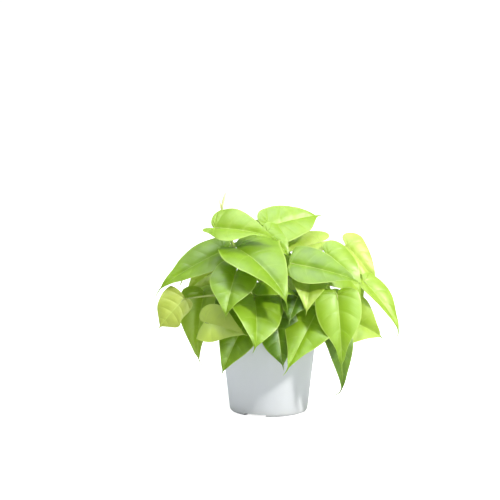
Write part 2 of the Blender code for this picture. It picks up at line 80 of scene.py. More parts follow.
# %% Wires: arithmetic that builds nodes
class Wire:
    """One output of a node in a tree."""

    def __init__(self, tree, socket):
        self.tree = tree
        self.socket = socket

    def op(self, operation, *others):
        return compute(self.tree, operation, self, *others)

    def other(self, name):
        """Another output of the same node."""
        return Wire(self.tree, self.socket.node.outputs[name])

    def __add__(self, value):
        return self.op("ADD", value)

    def __sub__(self, value):
        return self.op("SUBTRACT", value)

    def __rsub__(self, value):
        return compute(self.tree, "SUBTRACT", value, self)

    def __mul__(self, value):
        return self.op("MULTIPLY", value)

    def __truediv__(self, value):
        return self.op("DIVIDE", value)

    def __pow__(self, value):
        return self.op("POWER", value)

    __radd__ = __add__
    __rmul__ = __mul__


def plug(tree, value, socket):
    """Puts a wire or a plain value into a socket."""
    if isinstance(value, Wire):
        tree.links.new(value.socket, socket)
    elif socket.type == "VECTOR" and not hasattr(value, "__len__"):
        socket.default_value = (value, value, value)
    else:
        socket.default_value = value


def compute(tree, operation, *values):
    """A Math node, or a Vector Math node where a value is a vector."""
    is_vector = any(
        v.socket.type == "VECTOR" if isinstance(v, Wire) else hasattr(v, "__len__") for v in values
    )
    made = tree.nodes.new("ShaderNodeVectorMath" if is_vector else "ShaderNodeMath")
    made.operation = operation
    for value, socket in zip(values, made.inputs):
        plug(tree, value, socket)
    gives_number = not is_vector or operation in ("DOT_PRODUCT", "LENGTH", "DISTANCE")
    return Wire(tree, made.outputs["Value" if gives_number else "Vector"])


def add_node(tree, kind, inputs=(), out=0, **settings):
    """Adds a node with its settings and inputs, and gives the wire of one output."""
    made = tree.nodes.new(kind)
    for name, value in settings.items():
        setattr(made, name, value)
    for name, value in dict(inputs).items():
        plug(tree, value, made.inputs[name])
    return Wire(tree, made.outputs[out])


def new_tree(name, kind, inputs, outputs):
    """An empty node group with named inputs and outputs, and the wires of its inputs."""
    tree = bpy.data.node_groups.new(name, kind)
    for title, (socket_type, value) in inputs.items():
        made = tree.interface.new_socket(title, in_out="INPUT", socket_type=socket_type)
        if value is not None:
            made.default_value = value
    for title, socket_type in outputs.items():
        tree.interface.new_socket(title, in_out="OUTPUT", socket_type=socket_type)
    start = tree.nodes.new("NodeGroupInput")
    return tree, {title: Wire(tree, start.outputs[title]) for title in inputs}


def end_tree(tree, results):
    """Plugs the tree's results into its outputs."""
    end = tree.nodes.new("NodeGroupOutput")
    for title, wire in results.items():
        tree.links.new(wire.socket, end.inputs[title])
    return tree


FLOAT = "NodeSocketFloat"
INTEGER = "NodeSocketInt"
VECTOR = "NodeSocketVector"
GEOMETRY = "NodeSocketGeometry"
MATERIAL = "NodeSocketMaterial"
OBJECT = "NodeSocketObject"
print("wires are ready")

# %% [markdown]
# ## From a line to a piece
# Each leaf starts as its midrib, and each vine as its centre line: a plain line of points. A
# Geometry Nodes tree turns the line into the piece. The result is then made a plain mesh and
# the modifier goes away, because what comes later reads the object's own mesh.


# %% Lines and grown pieces
def add_mesh(name, points, edges=(), faces=(), smooth=True):
    """A mesh object from points in metres."""
    mesh = bpy.data.meshes.new(name)
    mesh.from_pydata([tuple(float(v) for v in p) for p in points], edges, faces)
    if smooth:
        mesh.shade_smooth()
    item = bpy.data.objects.new(name, mesh)
    bpy.context.scene.collection.objects.link(item)
    return item


def add_line(name, points):
    """A line of points joined one to the next."""
    return add_mesh(name, points, edges=[(k, k + 1) for k in range(len(points) - 1)])


def apply_modifiers(item):
    """Replaces an object's mesh by the one that its modifiers give."""
    evaluated = item.evaluated_get(bpy.context.evaluated_depsgraph_get())
    mesh = bpy.data.meshes.new_from_object(evaluated)
    item.modifiers.clear()
    item.data = mesh
    return item


def grow(item, tree, values):
    """Runs a Geometry Nodes tree on an object, with values for its named inputs."""
    modifier = item.modifiers.new(tree.name, "NODES")
    modifier.node_group = tree
    for socket in tree.interface.items_tree:
        if socket.in_out == "INPUT" and socket.name in values:
            modifier[socket.identifier] = values[socket.name]
    return apply_modifiers(item)


def unit(vector):
    vector = np.asarray(vector, float)
    return vector / np.linalg.norm(vector)


def bezier(points, steps):
    """Points along a cubic curve, its last one included."""
    t = np.linspace(0, 1, steps + 1)[:, None]
    a, b, c, d = (np.asarray(p, float) for p in points)
    return (1 - t) ** 3 * a + 3 * (1 - t) ** 2 * t * b + 3 * (1 - t) * t * t * c + t ** 3 * d


print("helpers for lines are ready")

# %% [markdown]
# ## The leaf's outline
# Half a heartleaf: two round lobes behind the stalk, full sides, and a long drip tip. Five
# curves say it all. It is drawn once, as a curve object, and every blade samples it. Tracing
# each leaf apart would give 42 lists of points and no two leaves alike in kind.

# %% Half a heart as a curve
SINUS_DEPTH = 0.185
DRAWN_WIDTH = 0.42
HALF_HEART = (
    ((0, 0), (-0.07, 0.02), (-SINUS_DEPTH, 0.05), (-SINUS_DEPTH, 0.42)),
    ((-SINUS_DEPTH, 0.42), (-SINUS_DEPTH, 0.78), (-0.02, 1.0), (0.16, 1.0)),
    ((0.16, 1.0), (0.44, 1.0), (0.62, 0.48), (0.82, 0.20)),
    ((0.82, 0.20), (0.87, 0.13), (0.90, 0.045), (0.94, 0.026)),
    ((0.94, 0.026), (0.96, 0.018), (0.98, 0.012), (1.0, 0.0)),
)


def draw_half_heart():
    """The outline as a Bezier curve: x along the midrib, y out from it."""
    curve = bpy.data.curves.new("half_heart", "CURVE")
    curve.dimensions = "3D"
    curve.resolution_u = 24
    spline = curve.splines.new("BEZIER")
    spline.bezier_points.add(len(HALF_HEART))
    for k, point in enumerate(spline.bezier_points):
        before = HALF_HEART[max(k - 1, 0)]
        after = HALF_HEART[min(k, len(HALF_HEART) - 1)]
        place = after[0] if k < len(HALF_HEART) else before[3]
        left = before[2] if k > 0 else place
        right = after[1] if k < len(HALF_HEART) else place
        point.co = (place[0], place[1] * DRAWN_WIDTH, 0)
        point.handle_left = (left[0], left[1] * DRAWN_WIDTH, 0)
        point.handle_right = (right[0], right[1] * DRAWN_WIDTH, 0)
    item = bpy.data.objects.new("half_heart", curve)
    bpy.context.scene.collection.objects.link(item)
    return item


half_heart = draw_half_heart()
print("outline points:", len(half_heart.data.splines[0].bezier_points))

# %% [markdown]
# ## The blade
# A blade is a thin sheet that hangs on its midrib. The tree starts with a flat grid. Its
# columns fan out from the midrib to the margin as the side veins do, and its rows run along
# the leaf. Each point finds its place on the midrib's line, goes out to its side on an arc
# that rises from the fold and levels off, and gets the small relief of a real leaf: a sunk
# midrib, sunk side veins with the blade quilted between them, and a waved margin. Then the
# sheet gets its thickness, with the keel of the midrib standing out below.
# A subdivided box could be pushed into this shape by hand. The formula makes 42 of them.

# %% The heart blade tree
LOBE_REACH = 0.45
VEINS_FROM = 0.1
VEIN_SWEEP = 1.25
VEIN_ARC = 1.7
ROW_CROWDING = 0.85
STRETCH_FROM = 0.94
TURN = 2 * math.pi


def bell(distance, width):
    """A soft bump: 1 at no distance, near 0 past twice the width."""
    return ((distance / width) ** 2 * -1).op("EXPONENT")


def either_side(x, name, is_left):
    """An input that has a value for each half of the blade."""
    return x["Left " + name] * is_left + x["Right " + name] * (1 - is_left)


def place_on_blade(tree, x):
    """Where each grid point lies on the flat leaf: column, row, along, out."""
    flat = add_node(tree, "GeometryNodeInputPosition")
    corner = add_node(tree, "ShaderNodeSeparateXYZ", {"Vector": flat})
    column = corner + 0.5
    row = corner.other("Y")
    share = row.op("ABSOLUTE")
    reach = share - (share * TURN).op("SINE") * (ROW_CROWDING / TURN)
    outline = add_node(tree, "GeometryNodeObjectInfo", {"Object": x["Outline"]}, out="Geometry")
    edge = add_node(
        tree, "GeometryNodeSampleCurve", {"Curves": outline, "Factor": column},
        out="Position", mode="FACTOR",
    )
    edge = add_node(tree, "ShaderNodeSeparateXYZ", {"Vector": edge})
    is_left = row.op("SIGN") * 0.5 + 0.5
    lobe = edge.op("MINIMUM", 0.0) * either_side(x, "Lobe", is_left)
    stretched = (edge - STRETCH_FROM).op("MAXIMUM", 0.0) * x["Drip"] / (1 - STRETCH_FROM)
    edge_along = edge.op("MAXIMUM", 0.0) + lobe + stretched
    root = (edge_along - VEINS_FROM) / (1 - VEINS_FROM)
    root = root.op("MAXIMUM", 0.0).op("MINIMUM", 1.0) ** VEIN_SWEEP
    along = root + (edge_along - root) * reach ** VEIN_ARC
    shoulder = bell(edge_along + 0.08, 0.22) * either_side(x, "Shoulder", is_left)
    blunt = bell(edge_along - 0.72, 0.2) * either_side(x, "Blunt", is_left)
    out = edge.other("Y") / DRAWN_WIDTH * reach * (shoulder + blunt + 1)
    return column, is_left, reach, along, out


def blade_frame(tree, x, along):
    """The midrib's point at each grid point, its upward side and its left side there."""
    line = add_node(tree, "GeometryNodeMeshToCurve", {"Mesh": x["Geometry"]})
    whole = x["Drip"] + (1 + LOBE_REACH)
    rib = add_node(
        tree, "GeometryNodeSampleCurve", {"Curves": line, "Factor": (along + LOBE_REACH) / whole},
        out="Position", mode="FACTOR",
    )
    forward = rib.other("Tangent")
    facing = x["Facing"] - forward * x["Facing"].op("DOT_PRODUCT", forward)
    up = facing.op("NORMALIZE")
    side = up.op("CROSS_PRODUCT", forward)
    angle = (x["Roll"] + x["Twist"] * along).op("RADIANS")
    turned_up = up * angle.op("COSINE") + side * angle.op("SINE")
    turned_side = side * angle.op("COSINE") - up * angle.op("SINE")
    return rib, turned_up, turned_side


def blade_relief(tree, x, column, reach, along, from_rib, rib):
    """The height of the small relief: sunk veins, quilting, a waved margin, slow waves."""
    middle = reach * (1 - reach) * 4
    phase = (column * x["Vein Pairs"]).op("FRACT") - 0.5
    vein = phase.op("ABSOLUTE") * 2
    groove = bell(from_rib, 0.0009) * x["Groove"] * (1 - along).op("MAXIMUM", 0.2) * -1
    quilt = (1 - vein ** 3) * middle * x["Quilting"]
    wave = ((column * x["Waves"] + x["Seed"]) * TURN).op("SINE") * reach ** 2 * x["Wave Height"]
    noise = add_node(
        tree, "ShaderNodeTexNoise", {"Vector": rib, "W": x["Seed"], "Scale": 45, "Detail": 1.0},
        noise_dimensions="4D",
    )
    buckle = (noise - 0.5) * reach * x["Buckle"]
    return groove + quilt + wave + buckle


def give_thickness(tree, x, sheet, from_rib, along):
    """Closes the sheet into a thin solid with a keel under the midrib."""
    keel = bell(from_rib, 0.0008) * (1.05 - along).op("MAXIMUM", 0.0) * x["Keel"]
    depth = keel + x["Thickness"]
    below = add_node(
        tree, "GeometryNodeExtrudeMesh", {"Mesh": sheet, "Offset Scale": depth * -1, "Individual": False},
        mode="FACES",
    )
    below = add_node(tree, "GeometryNodeFlipFaces", {"Mesh": below})
    below = add_node(
        tree, "GeometryNodeStoreNamedAttribute", {"Geometry": below, "Name": "underside", "Value": 1.0},
        data_type="FLOAT", domain="FACE",
    )
    both = add_node(tree, "GeometryNodeJoinGeometry")
    for part in (below, sheet):
        tree.links.new(part.socket, both.socket.node.inputs[0])
    return add_node(tree, "GeometryNodeMergeByDistance", {"Geometry": both, "Distance": 0.00001})


def heart_blade_tree():
    tree, x = new_tree(
        "Heart blade",
        "GeometryNodeTree",
        {
            "Geometry": (GEOMETRY, None),
            "Outline": (OBJECT, None),
            "Facing": (VECTOR, (0, 0, 1)),
            "Half Width": (FLOAT, 0.03),
            "Left Share": (FLOAT, 1.0),
            "Right Share": (FLOAT, 1.0),
            "Left Lobe": (FLOAT, 1.0),
            "Right Lobe": (FLOAT, 1.0),
            "Left Shoulder": (FLOAT, 0.0),
            "Right Shoulder": (FLOAT, 0.0),
            "Left Blunt": (FLOAT, 0.0),
            "Right Blunt": (FLOAT, 0.0),
            "Drip": (FLOAT, 0.04),
            "Fold": (FLOAT, 20.0),
            "Margin Curl": (FLOAT, 30.0),
            "Roll": (FLOAT, 0.0),
            "Twist": (FLOAT, 0.0),
            "Vein Pairs": (FLOAT, 7.0),
            "Groove": (FLOAT, 0.0004),
            "Quilting": (FLOAT, 0.0005),
            "Wave Height": (FLOAT, 0.0008),
            "Waves": (FLOAT, 2.5),
            "Buckle": (FLOAT, 0.004),
            "Keel": (FLOAT, 0.0007),
            "Thickness": (FLOAT, 0.00035),
            "Tone": (FLOAT, 0.5),
            "Yellowing": (FLOAT, 0.0),
            "Seed": (FLOAT, 0.0),
            "Columns": (INTEGER, 73),
            "Rows": (INTEGER, 33),
            "Material": (MATERIAL, None),
        },
        {"Geometry": GEOMETRY},
    )
    grid = add_node(
        tree, "GeometryNodeMeshGrid",
        {"Size X": 1.0, "Size Y": 2.0, "Vertices X": x["Columns"], "Vertices Y": x["Rows"]},
    )
    column, is_left, reach, along, out = place_on_blade(tree, x)
    side = is_left * 2 - 1
    rib, up, left = blade_frame(tree, x, along)
    width = x["Half Width"] * either_side(x, "Share", is_left)
    curl = x["Margin Curl"].op("RADIANS")
    fold = x["Fold"].op("RADIANS")
    from_rib = width / curl * (fold.op("SINE") - (fold - curl * out).op("SINE"))
    rise = width / curl * ((fold - curl * out).op("COSINE") - fold.op("COSINE"))
    rise = rise * (1 - bell(from_rib, 0.0022))
    relief = blade_relief(tree, x, column, reach, along, from_rib, rib)
    blade = add_node(tree, "ShaderNodeCombineXYZ", {"X": column, "Y": reach * side, "Z": along})
    numbers = {"rib_mm": from_rib / MM, "tone": x["Tone"], "yellowing": x["Yellowing"]}
    grid = add_node(
        tree, "GeometryNodeStoreNamedAttribute", {"Geometry": grid, "Name": "blade", "Value": blade},
        data_type="FLOAT_VECTOR", domain="POINT",
    )
    for name, value in numbers.items():
        grid = add_node(
            tree, "GeometryNodeStoreNamedAttribute", {"Geometry": grid, "Name": name, "Value": value},
            data_type="FLOAT", domain="POINT",
        )
    place = rib + left * (from_rib * side) + up * (rise + relief)
    sheet = add_node(tree, "GeometryNodeSetPosition", {"Geometry": grid, "Position": place})
    sheet = add_node(tree, "GeometryNodeMergeByDistance", {"Geometry": sheet, "Distance": 0.00002})
    stored_rib = named_number(tree, "rib_mm") * MM
    stored_blade = named_number(tree, "blade", "FLOAT_VECTOR")
    stored_along = add_node(tree, "ShaderNodeSeparateXYZ", {"Vector": stored_blade}, out="Z")
    solid = give_thickness(tree, x, sheet, stored_rib, stored_along)
    solid = add_node(tree, "GeometryNodeSetShadeSmooth", {"Geometry": solid})
    solid = add_node(tree, "GeometryNodeRealizeInstances", {"Geometry": solid})
    solid = add_node(
        tree, "GeometryNodeSetMaterial", {"Geometry": solid, "Material": x["Material"]}
    )
    return end_tree(tree, {"Geometry": solid})


def named_number(tree, name, kind="FLOAT"):
    """A stored attribute of the mesh."""
    return add_node(tree, "GeometryNodeInputNamedAttribute", {"Name": name}, data_type=kind)


blade_tree = heart_blade_tree()
print("heart blade tree:", len(blade_tree.nodes), "nodes")

# %% [markdown]
# ## Where the leaves grow
# Every leaf has a row: the vine it grows on and how far up, where its stalk meets it, where its
# tip hangs, which way its upper side looks, and its form. The rows follow the ones that the
# solids were made from, and add what only the fine blades have. Five leaves stand up to 5 mm
# off their solids or bend less, because the plain solids would run into each other there. Four
# pairs shape the left and the right half: `share` is its width, `lobes` its lobe, `shoulder` its
# fullness near the stalk and `blunt` near the tip. `sweep` bends the midrib sideways and `curl`
# only its tip, `twist` turns the tip, `drip` is the length of the thread at the tip, and the
# tone runs from old green (0) to young lime (1). The tone is partly the leaf's age and partly
# painted light and shade: leaves deep in the plant, such as centre_dark, pot_centre and
# right_low, have low tones as painted shade, and lit ones such as left_under and left_low
# have high tones as painted light.

# %% The vines and the leaves
SOIL_LEVEL = 94.0
Vine = namedtuple("Vine", "name root top")
VINES = (
    Vine("vine_left", (-22, 6), (-57, -4, 244)),
    Vine("vine_left_front", (-24, -14), (-38, -30, 150)),
    Vine("vine_front", (-4, -26), (-14, -22, 190)),
    Vine("vine_front_right", (18, -22), (22, -22, 150)),
    Vine("vine_right", (30, -4), (52, -10, 165)),
    Vine("vine_right_back", (22, 18), (64, 22, 186)),
    Vine("vine_back", (2, 26), (6, 22, 206)),
    Vine("vine_back_left", (-16, 24), (-34, 40, 176)),
)
Leaf = namedtuple(
    "Leaf",
    "name vine node base tip face width fold bend hook"
    " lobe sway share lobes shoulder blunt sweep curl twist roll drip tone yellowing wave buckle",
    defaults=(1.0, (0, 0, 0), (1, 1), (1, 1), (0, 0), (0, 0), 0, 0, 0, 0, 0.04, 0.5, 0, 0.8, 4.0),
)
LEAVES = (
    Leaf("crown_left", 0, .82, (-65, -30, 226), (8, -48, 212), (1, -9, 10), .38, 26, 25, 20,
         lobe=.45, sway=(-8, 22, 0), share=(1, 1.05), lobes=(1, 1.9), shoulder=(0, -.5),
         blunt=(0, -.6), tone=.62, buckle=6),
    Leaf("crown_right", 6, .8, (0, 9, 226), (66, 36, 237), (0, -10, 10), .42, 20, 10, 10,
         lobe=.45, share=(.9, 1.15), lobes=(1.6, 2), blunt=(0, .5), curl=-20, tone=.62),
    Leaf("crown_inner", 6, .7, (-4, -14, 219), (24, -27, 189), (3, -9, 7), .38, 20, 30, 20,
         lobe=.5, sway=(-6, -2, -6), share=(1, 1), lobes=(2.4, 1), shoulder=(.4, 0),
         blunt=(.3, 0), tone=0.55),
    Leaf("crown_shaded", 5, .7, (64, 20, 205), (17, 0, 192), (-1, -7, 10), .34, 16, 10, 10,
         sway=(0, 10, 0), share=(1, 1.5), lobes=(1.5, 1.8), blunt=(0, .6), tone=0.85),
    Leaf("front_wide", 2, .75, (-38, -38, 202), (20, -93, 138), (2, -7, 10), .34, 22, 45, 40,
         lobe=.3, share=(1.08, 1), lobes=(3, 1), shoulder=(1.1, -.2), tone=.36),
    Leaf("left_wide", 0, .55, (-54, -16, 198), (-134, -28, 147), (-3, -7, 8), .29, 18, 20, 20,
         lobe=.7, curl=40, drip=.08, tone=0.38),
    Leaf("left_hanging", 1, .8, (-40, -61, 173), (-51, -90, 126), (-2, -10, 4), .49, 18, 35, 20,
         lobe=2.2, lobes=(1.15, 1.2), drip=.07, tone=.36),
    Leaf("left_small", 1, .7, (-101, -36, 142), (-132, -42, 106), (-2, -10, 3), .5, 15, 25, 15,
         lobe=.3, sway=(0, -18, 4), share=(.66, 1.05), shoulder=(-.1, 0), blunt=(1.5, .3),
         tone=0.75, yellowing=0.7),
    Leaf("left_folded", 1, .6, (-79, -14, 145), (-82, -34, 63), (-4, -10, 1), .28, 40, 30, 25,
         lobe=.4, share=(1, 1.15), curl=120, drip=.14, tone=0.6, yellowing=.2),
    Leaf("left_low", 1, .4, (-77, -56, 116), (-26, -80, 104), (0, -10, 4), .42, 18, 30, 15,
         lobe=.4, sway=(2, -6, -14), share=(1, .95), lobes=(2.6, -.8), tone=1, yellowing=.05),
    Leaf("left_under", 0, .45, (-70, 6, 168), (-103, -6, 141), (-3, -9, 6), .32, 20, 35, 20,
         tone=1, yellowing=.2),
    Leaf("left_shaded", 0, .35, (-62, 0, 142), (-80, -16, 100), (-3, -9, 5), .4, 20, 35, 20,
         tone=.2),
    Leaf("centre_hanging", 2, .55, (-18, -50, 145), (-19, -98, 88), (4, -10, 6), .43, 20, 38, 42,
         lobe=.5, shoulder=(0, -.2), blunt=(.35, .2), curl=-90, drip=.05, tone=.4, buckle=7),
    Leaf("centre_under", 2, .6, (-6, -40, 162), (32, -62, 147), (0, -8, 10), .3, 15, 30, 15,
         lobe=1.2, share=(1, 1.7), tone=.45),
    Leaf("pot_left", 2, .25, (-26, -58, 121), (-56, -78, 57), (-2, -10, 3), .34, 20, 35, 20,
         sway=(-8, 0, 0), blunt=(.15, 0), tone=0.26),
    Leaf("pot_centre", 3, .3, (8, -56, 122), (16, -77, 64), (-1, -10, 4), .4, 12, 6, 20,
         lobe=.3, blunt=(.1, .25), tone=0),
    Leaf("pot_right", 3, .5, (57, -46, 129), (18, -92, 63), (-1, -10, 3), .36, 16, 20, 20,
         lobe=.3, share=(1.05, .95), blunt=(-.1, -.1), curl=-30, roll=-14, drip=.06, tone=.45,
         buckle=6),
    Leaf("centre_dark", 3, .75, (35, -50, 150), (22, -82, 119), (-4, -10, -4), .42, 12, 5, 20,
         lobe=.5, tone=0),
    Leaf("right_under", 4, .8, (49, -40, 170), (42, -78, 128), (0, -10, 4), .38, 22, 40, 20,
         lobe=.6, tone=.8, buckle=6),
    Leaf("right_wide", 3, .95, (24, -45, 185), (107, -60, 162), (2, -9, 8), .33, 16, 22, 20,
         lobe=.1, lobes=(1, -2), shoulder=(0, -.4), tone=.3),
    Leaf("right_front", 4, .6, (79, -62, 150), (84, -74, 62), (.5, -10, 2), .3, 16, 38, 20,
         lobe=.2, share=(1, 1), lobes=(2.2, 2.2), blunt=(-.35, -.35), tone=.55),
    Leaf("right_low", 4, .35, (74, -39, 120), (83, -42, 29), (5, -10, 1), .23, 34, 50, 20,
         share=(.85, 1.15), curl=-190, drip=.1, tone=0.12),
    Leaf("right_pointed", 4, .45, (87, -8, 117), (138, -25, 92), (2, -10, 4), .56, 24, 25, 20,
         share=(1, 1.2), tone=.75, buckle=7),
    Leaf("right_upper", 4, .95, (70, -10, 193), (112, -25, 139), (3, -9, 7), .36, 20, 35, 20,
         share=(1, 1.8), tone=.62),
    Leaf("right_far", 5, .55, (116, 0, 159), (156, -15, 94), (5, -7, 7), .26, 22, 30, 35,
         lobe=.5, share=(1, .7), blunt=(0, -.2), curl=-110, drip=.1, tone=.68),
    Leaf("right_back", 5, .85, (97, 25, 200), (133, 15, 151), (2, -10, 6), .25, 15, 30, 20,
         lobe=.8, share=(1.3, .9), lobes=(1.6, .2), shoulder=(.3, -.3), blunt=(0, .6), tone=.85),
    Leaf("back_crown", 6, .9, (-10, 40, 226), (-52, 74, 196), (-3, 3, 10), .42, 18, 25, 20),
    Leaf("back_crown_right", 6, .75, (24, 48, 212), (70, 92, 176), (3, 4, 10), .4, 20, 30, 20,
         tone=.7),
    Leaf("back_middle", 6, .5, (0, 66, 182), (6, 112, 116), (0, 10, 6), .38, 20, 40, 25),
    Leaf("back_left_upper", 7, .9, (-58, 44, 196), (-112, 78, 146), (-5, 5, 8), .38, 20, 30, 20),
    Leaf("back_left", 7, .6, (-42, 70, 154), (-58, 100, 82), (-3, 10, 4), .4, 20, 35, 20),
    Leaf("back_left_low", 7, .45, (-80, 30, 146), (-114, 50, 102), (-8, 6, 5), .42, 20, 30, 20),
    Leaf("back_right_upper", 5, .75, (78, 52, 178), (124, 74, 124), (5, 6, 8), .38, 20, 35, 20),
    Leaf("back_right", 5, .45, (46, 66, 146), (66, 96, 78), (3, 10, 4), .4, 20, 35, 20),
    Leaf("back_right_low", 5, .3, (82, 30, 138), (108, 46, 88), (8, 5, 3), .38, 22, 30, 20),
    Leaf("back_top", 6, .95, (14, 36, 236), (-14, 78, 222), (0, 4, 10), .4, 16, 25, 20, tone=.8),
    Leaf("back_centre", 5, .35, (24, 72, 156), (32, 104, 88), (1, 10, 4), .36, 20, 35, 20,
         sway=(-14, -4, 6)),
    Leaf("back_shaded", 7, .4, (-22, 60, 136), (-24, 84, 68), (-1, 10, 3), .36, 20, 30, 20),
    Leaf("back_low", 7, .3, (4, 60, 126), (0, 80, 58), (0, 10, 2), .38, 20, 30, 20),
    Leaf("top_left", 7, .85, (-46, 20, 190), (-88, 28, 174), (-1, -1, 10), .34, 18, 25, 20,
         lobe=.6),
    Leaf("top_centre", 6, .6, (-16, 26, 192), (-28, -6, 170), (-2, -1, 10), .4, 18, 25, 20),
    Leaf("top_right", 5, .7, (30, 40, 186), (66, 60, 168), (1, 1, 10), .36, 18, 25, 20),
)
print(len(VINES), "vines and", len(LEAVES), "leaves")

# %% [markdown]
# ## The midrib
# The midrib arches over under the blade's weight, and its tip hooks down. Its slope is given
# along its length, and adding up small steps at that slope draws the line. The chord from
# stalk to tip is then laid between the two points of the leaf's row.

# %% The midrib's line
HOOK_FROM = 0.72
HOOK_POWER = 1.5
CURL_FROM = 0.93
MIDRIB_STEPS = 120


def leaf_axes(leaf):
    """The blade's own axes: along the midrib, out of its upper side, and to its left."""
    along = unit(np.subtract(leaf.tip, leaf.base))
    face = np.asarray(leaf.face, float)
    up = unit(face - along * (face @ along))
    return along, up, np.cross(up, along)


def midrib_line(leaf):
    """The midrib in millimetres, from behind the stalk to the tip, and its arc length."""
    s = np.linspace(-LOBE_REACH, 1 + leaf.drip, MIDRIB_STEPS + 1)
    hooked = np.clip((s - HOOK_FROM) / (1 - HOOK_FROM), 0, None) ** HOOK_POWER
    pitch = -math.radians(leaf.bend) * s - math.radians(leaf.hook) * hooked
    curled = np.clip((s - CURL_FROM) / (1 + leaf.drip - CURL_FROM), 0, None)
    yaw = math.radians(leaf.sweep) * s + math.radians(leaf.curl) * curled
    step = np.stack([np.cos(pitch) * np.cos(yaw), np.cos(pitch) * np.sin(yaw), np.sin(pitch)], 1)
    middle = (step[1:] + step[:-1]) / 2 * (s[1] - s[0])
    line = np.vstack([[0, 0, 0], np.cumsum(middle, axis=0)])
    base, tip = (np.array([np.interp(at, s, line[:, k]) for k in range(3)]) for at in (0, 1))
    turn = Vector(tip - base).rotation_difference(Vector((1, 0, 0))).to_matrix()
    scale = np.linalg.norm(np.subtract(leaf.tip, leaf.base)) / np.linalg.norm(tip - base)
    line = (line - base) @ np.array(turn).T * scale
    axes = np.array(leaf_axes(leaf))[[0, 2, 1]]
    return np.asarray(leaf.base, float) + line @ axes, scale


line, arc = midrib_line(LEAVES[0])
print("first midrib:", len(line), "points,", round(arc, 1), "mm long")

# %% [markdown]
# ## The leaf's surface
# A heartleaf is a thin waxy sheet that lets much light through, so half of what is seen against
# the light is the light behind it. A Principled shader gives the waxy front, a Translucent
# shader the glow. The vein pattern is shared by the blades and by the rolled new leaf, so it is
# a node group: it reads where a point lies on its blade and gives masks.

# %% Shared patterns: veins and fine grain
def smooth_step(tree, value, low, high):
    """0 below low, 1 above high, smooth between; falling where low is above high."""
    return add_node(
        tree, "ShaderNodeMapRange", {"Value": value, "From Min": low, "From Max": high},
        interpolation_type="SMOOTHSTEP",
    )


def veins_group():
    tree, x = new_tree(
        "Leaf veins",
        "ShaderNodeTree",
        {"Blade": (VECTOR, None), "Rib mm": (FLOAT, 0.0), "Pairs": (FLOAT, 7.0)},
        {"Midrib": FLOAT, "Side Veins": FLOAT, "Margin": FLOAT, "Between": FLOAT},
    )
    place = add_node(tree, "ShaderNodeSeparateXYZ", {"Vector": x["Blade"]})
    column, reach, along = place, place.other("Y").op("ABSOLUTE"), place.other("Z")
    rib_width = (1.15 - along).op("MAXIMUM", 0.25) * 0.75
    midrib = smooth_step(tree, x["Rib mm"] / rib_width, 1.2, 0.4)
    phase = (column * x["Pairs"]).op("FRACT") - 0.5
    off_vein = 0.5 - phase.op("ABSOLUTE")
    thin = smooth_step(tree, off_vein * (reach + 0.25), 0.05, 0.005)
    side_veins = thin * smooth_step(tree, reach, 0.95, 0.5)
    fine = (column * x["Pairs"] * 4).op("FRACT") - 0.5
    fine_veins = smooth_step(tree, 0.5 - fine.op("ABSOLUTE"), 0.2, 0.02) * 0.25
    # The margin band is the mask for a painted highlight along the leaf's edge.
    margin = smooth_step(tree, reach, 0.94, 0.98)
    return end_tree(
        tree,
        {
            "Midrib": midrib,
            "Side Veins": side_veins + fine_veins * smooth_step(tree, reach, 0.1, 0.4),
            "Margin": margin,
            "Between": phase.op("ABSOLUTE") * -2 + 1,
        },
    )


def grain_group():
    """A fine surface grain: a height for bump and a slow mottling for colour."""
    tree, x = new_tree(
        "Fine grain",
        "ShaderNodeTree",
        {"Place": (VECTOR, None), "Grains per m": (FLOAT, 1500.0), "Patches per m": (FLOAT, 60.0)},
        {"Height": FLOAT, "Mottling": FLOAT},
    )
    fine = add_node(
        tree, "ShaderNodeTexNoise",
        {"Vector": x["Place"], "Scale": x["Grains per m"], "Detail": 3.0, "Roughness": 0.6},
    )
    patches = add_node(
        tree, "ShaderNodeTexNoise",
        {"Vector": x["Place"], "Scale": x["Patches per m"], "Detail": 2.0},
    )
    return end_tree(tree, {"Height": fine, "Mottling": patches})


veins = veins_group()
grain = grain_group()


def use_group(tree, group, inputs, out=0):
    """Puts a shared group in a material with its own values."""
    made = tree.nodes.new("ShaderNodeGroup")
    made.node_tree = group
    for name, value in inputs.items():
        plug(tree, value, made.inputs[name])
    return Wire(tree, made.outputs[out])


print("groups:", veins.name, "and", grain.name)

# %% The leaf material
# The old green also serves as painted shade on leaves deep in the plant, and the young lime as painted
# light on lit ones.
OLD_AND_SHADED_GREEN = (0.10, 0.22, 0.002, 1)
MIDDLE_GREEN = (0.31, 0.51, 0.012, 1)
YOUNG_AND_LIT_GREEN = (0.62, 0.75, 0.14, 1)
YELLOWED = (0.56, 0.60, 0.12, 1)
VEIN_GREEN = (0.70, 0.84, 0.22, 1)
UNDERSIDE_GREEN = (0.50, 0.66, 0.10, 1)
LEAF_GLOW = 0.4


def blend_colours(tree, factor, first, second):
    made = tree.nodes.new("ShaderNodeMix")
    made.data_type = "RGBA"
    for value, socket in ((factor, 0), (first, 6), (second, 7)):
        plug(tree, value, made.inputs[socket])
    return Wire(tree, made.outputs[2])


def attribute(tree, name, out="Fac"):
    """A stored attribute of the piece: a number by Fac, a place by Vector."""
    return add_node(tree, "ShaderNodeAttribute", out=out, attribute_name=name)


def new_material(name):
    """A material with a Principled shader, and its tree."""
    material = bpy.data.materials.new(name)
    material.use_nodes = True
    return material, material.node_tree, material.node_tree.nodes["Principled BSDF"]


def object_place(tree):
    return add_node(tree, "ShaderNodeTexCoord", out="Object")


def bump(tree, height, distance, strength=1.0):
    return add_node(
        tree, "ShaderNodeBump", {"Height": height, "Distance": distance, "Strength": strength}
    )


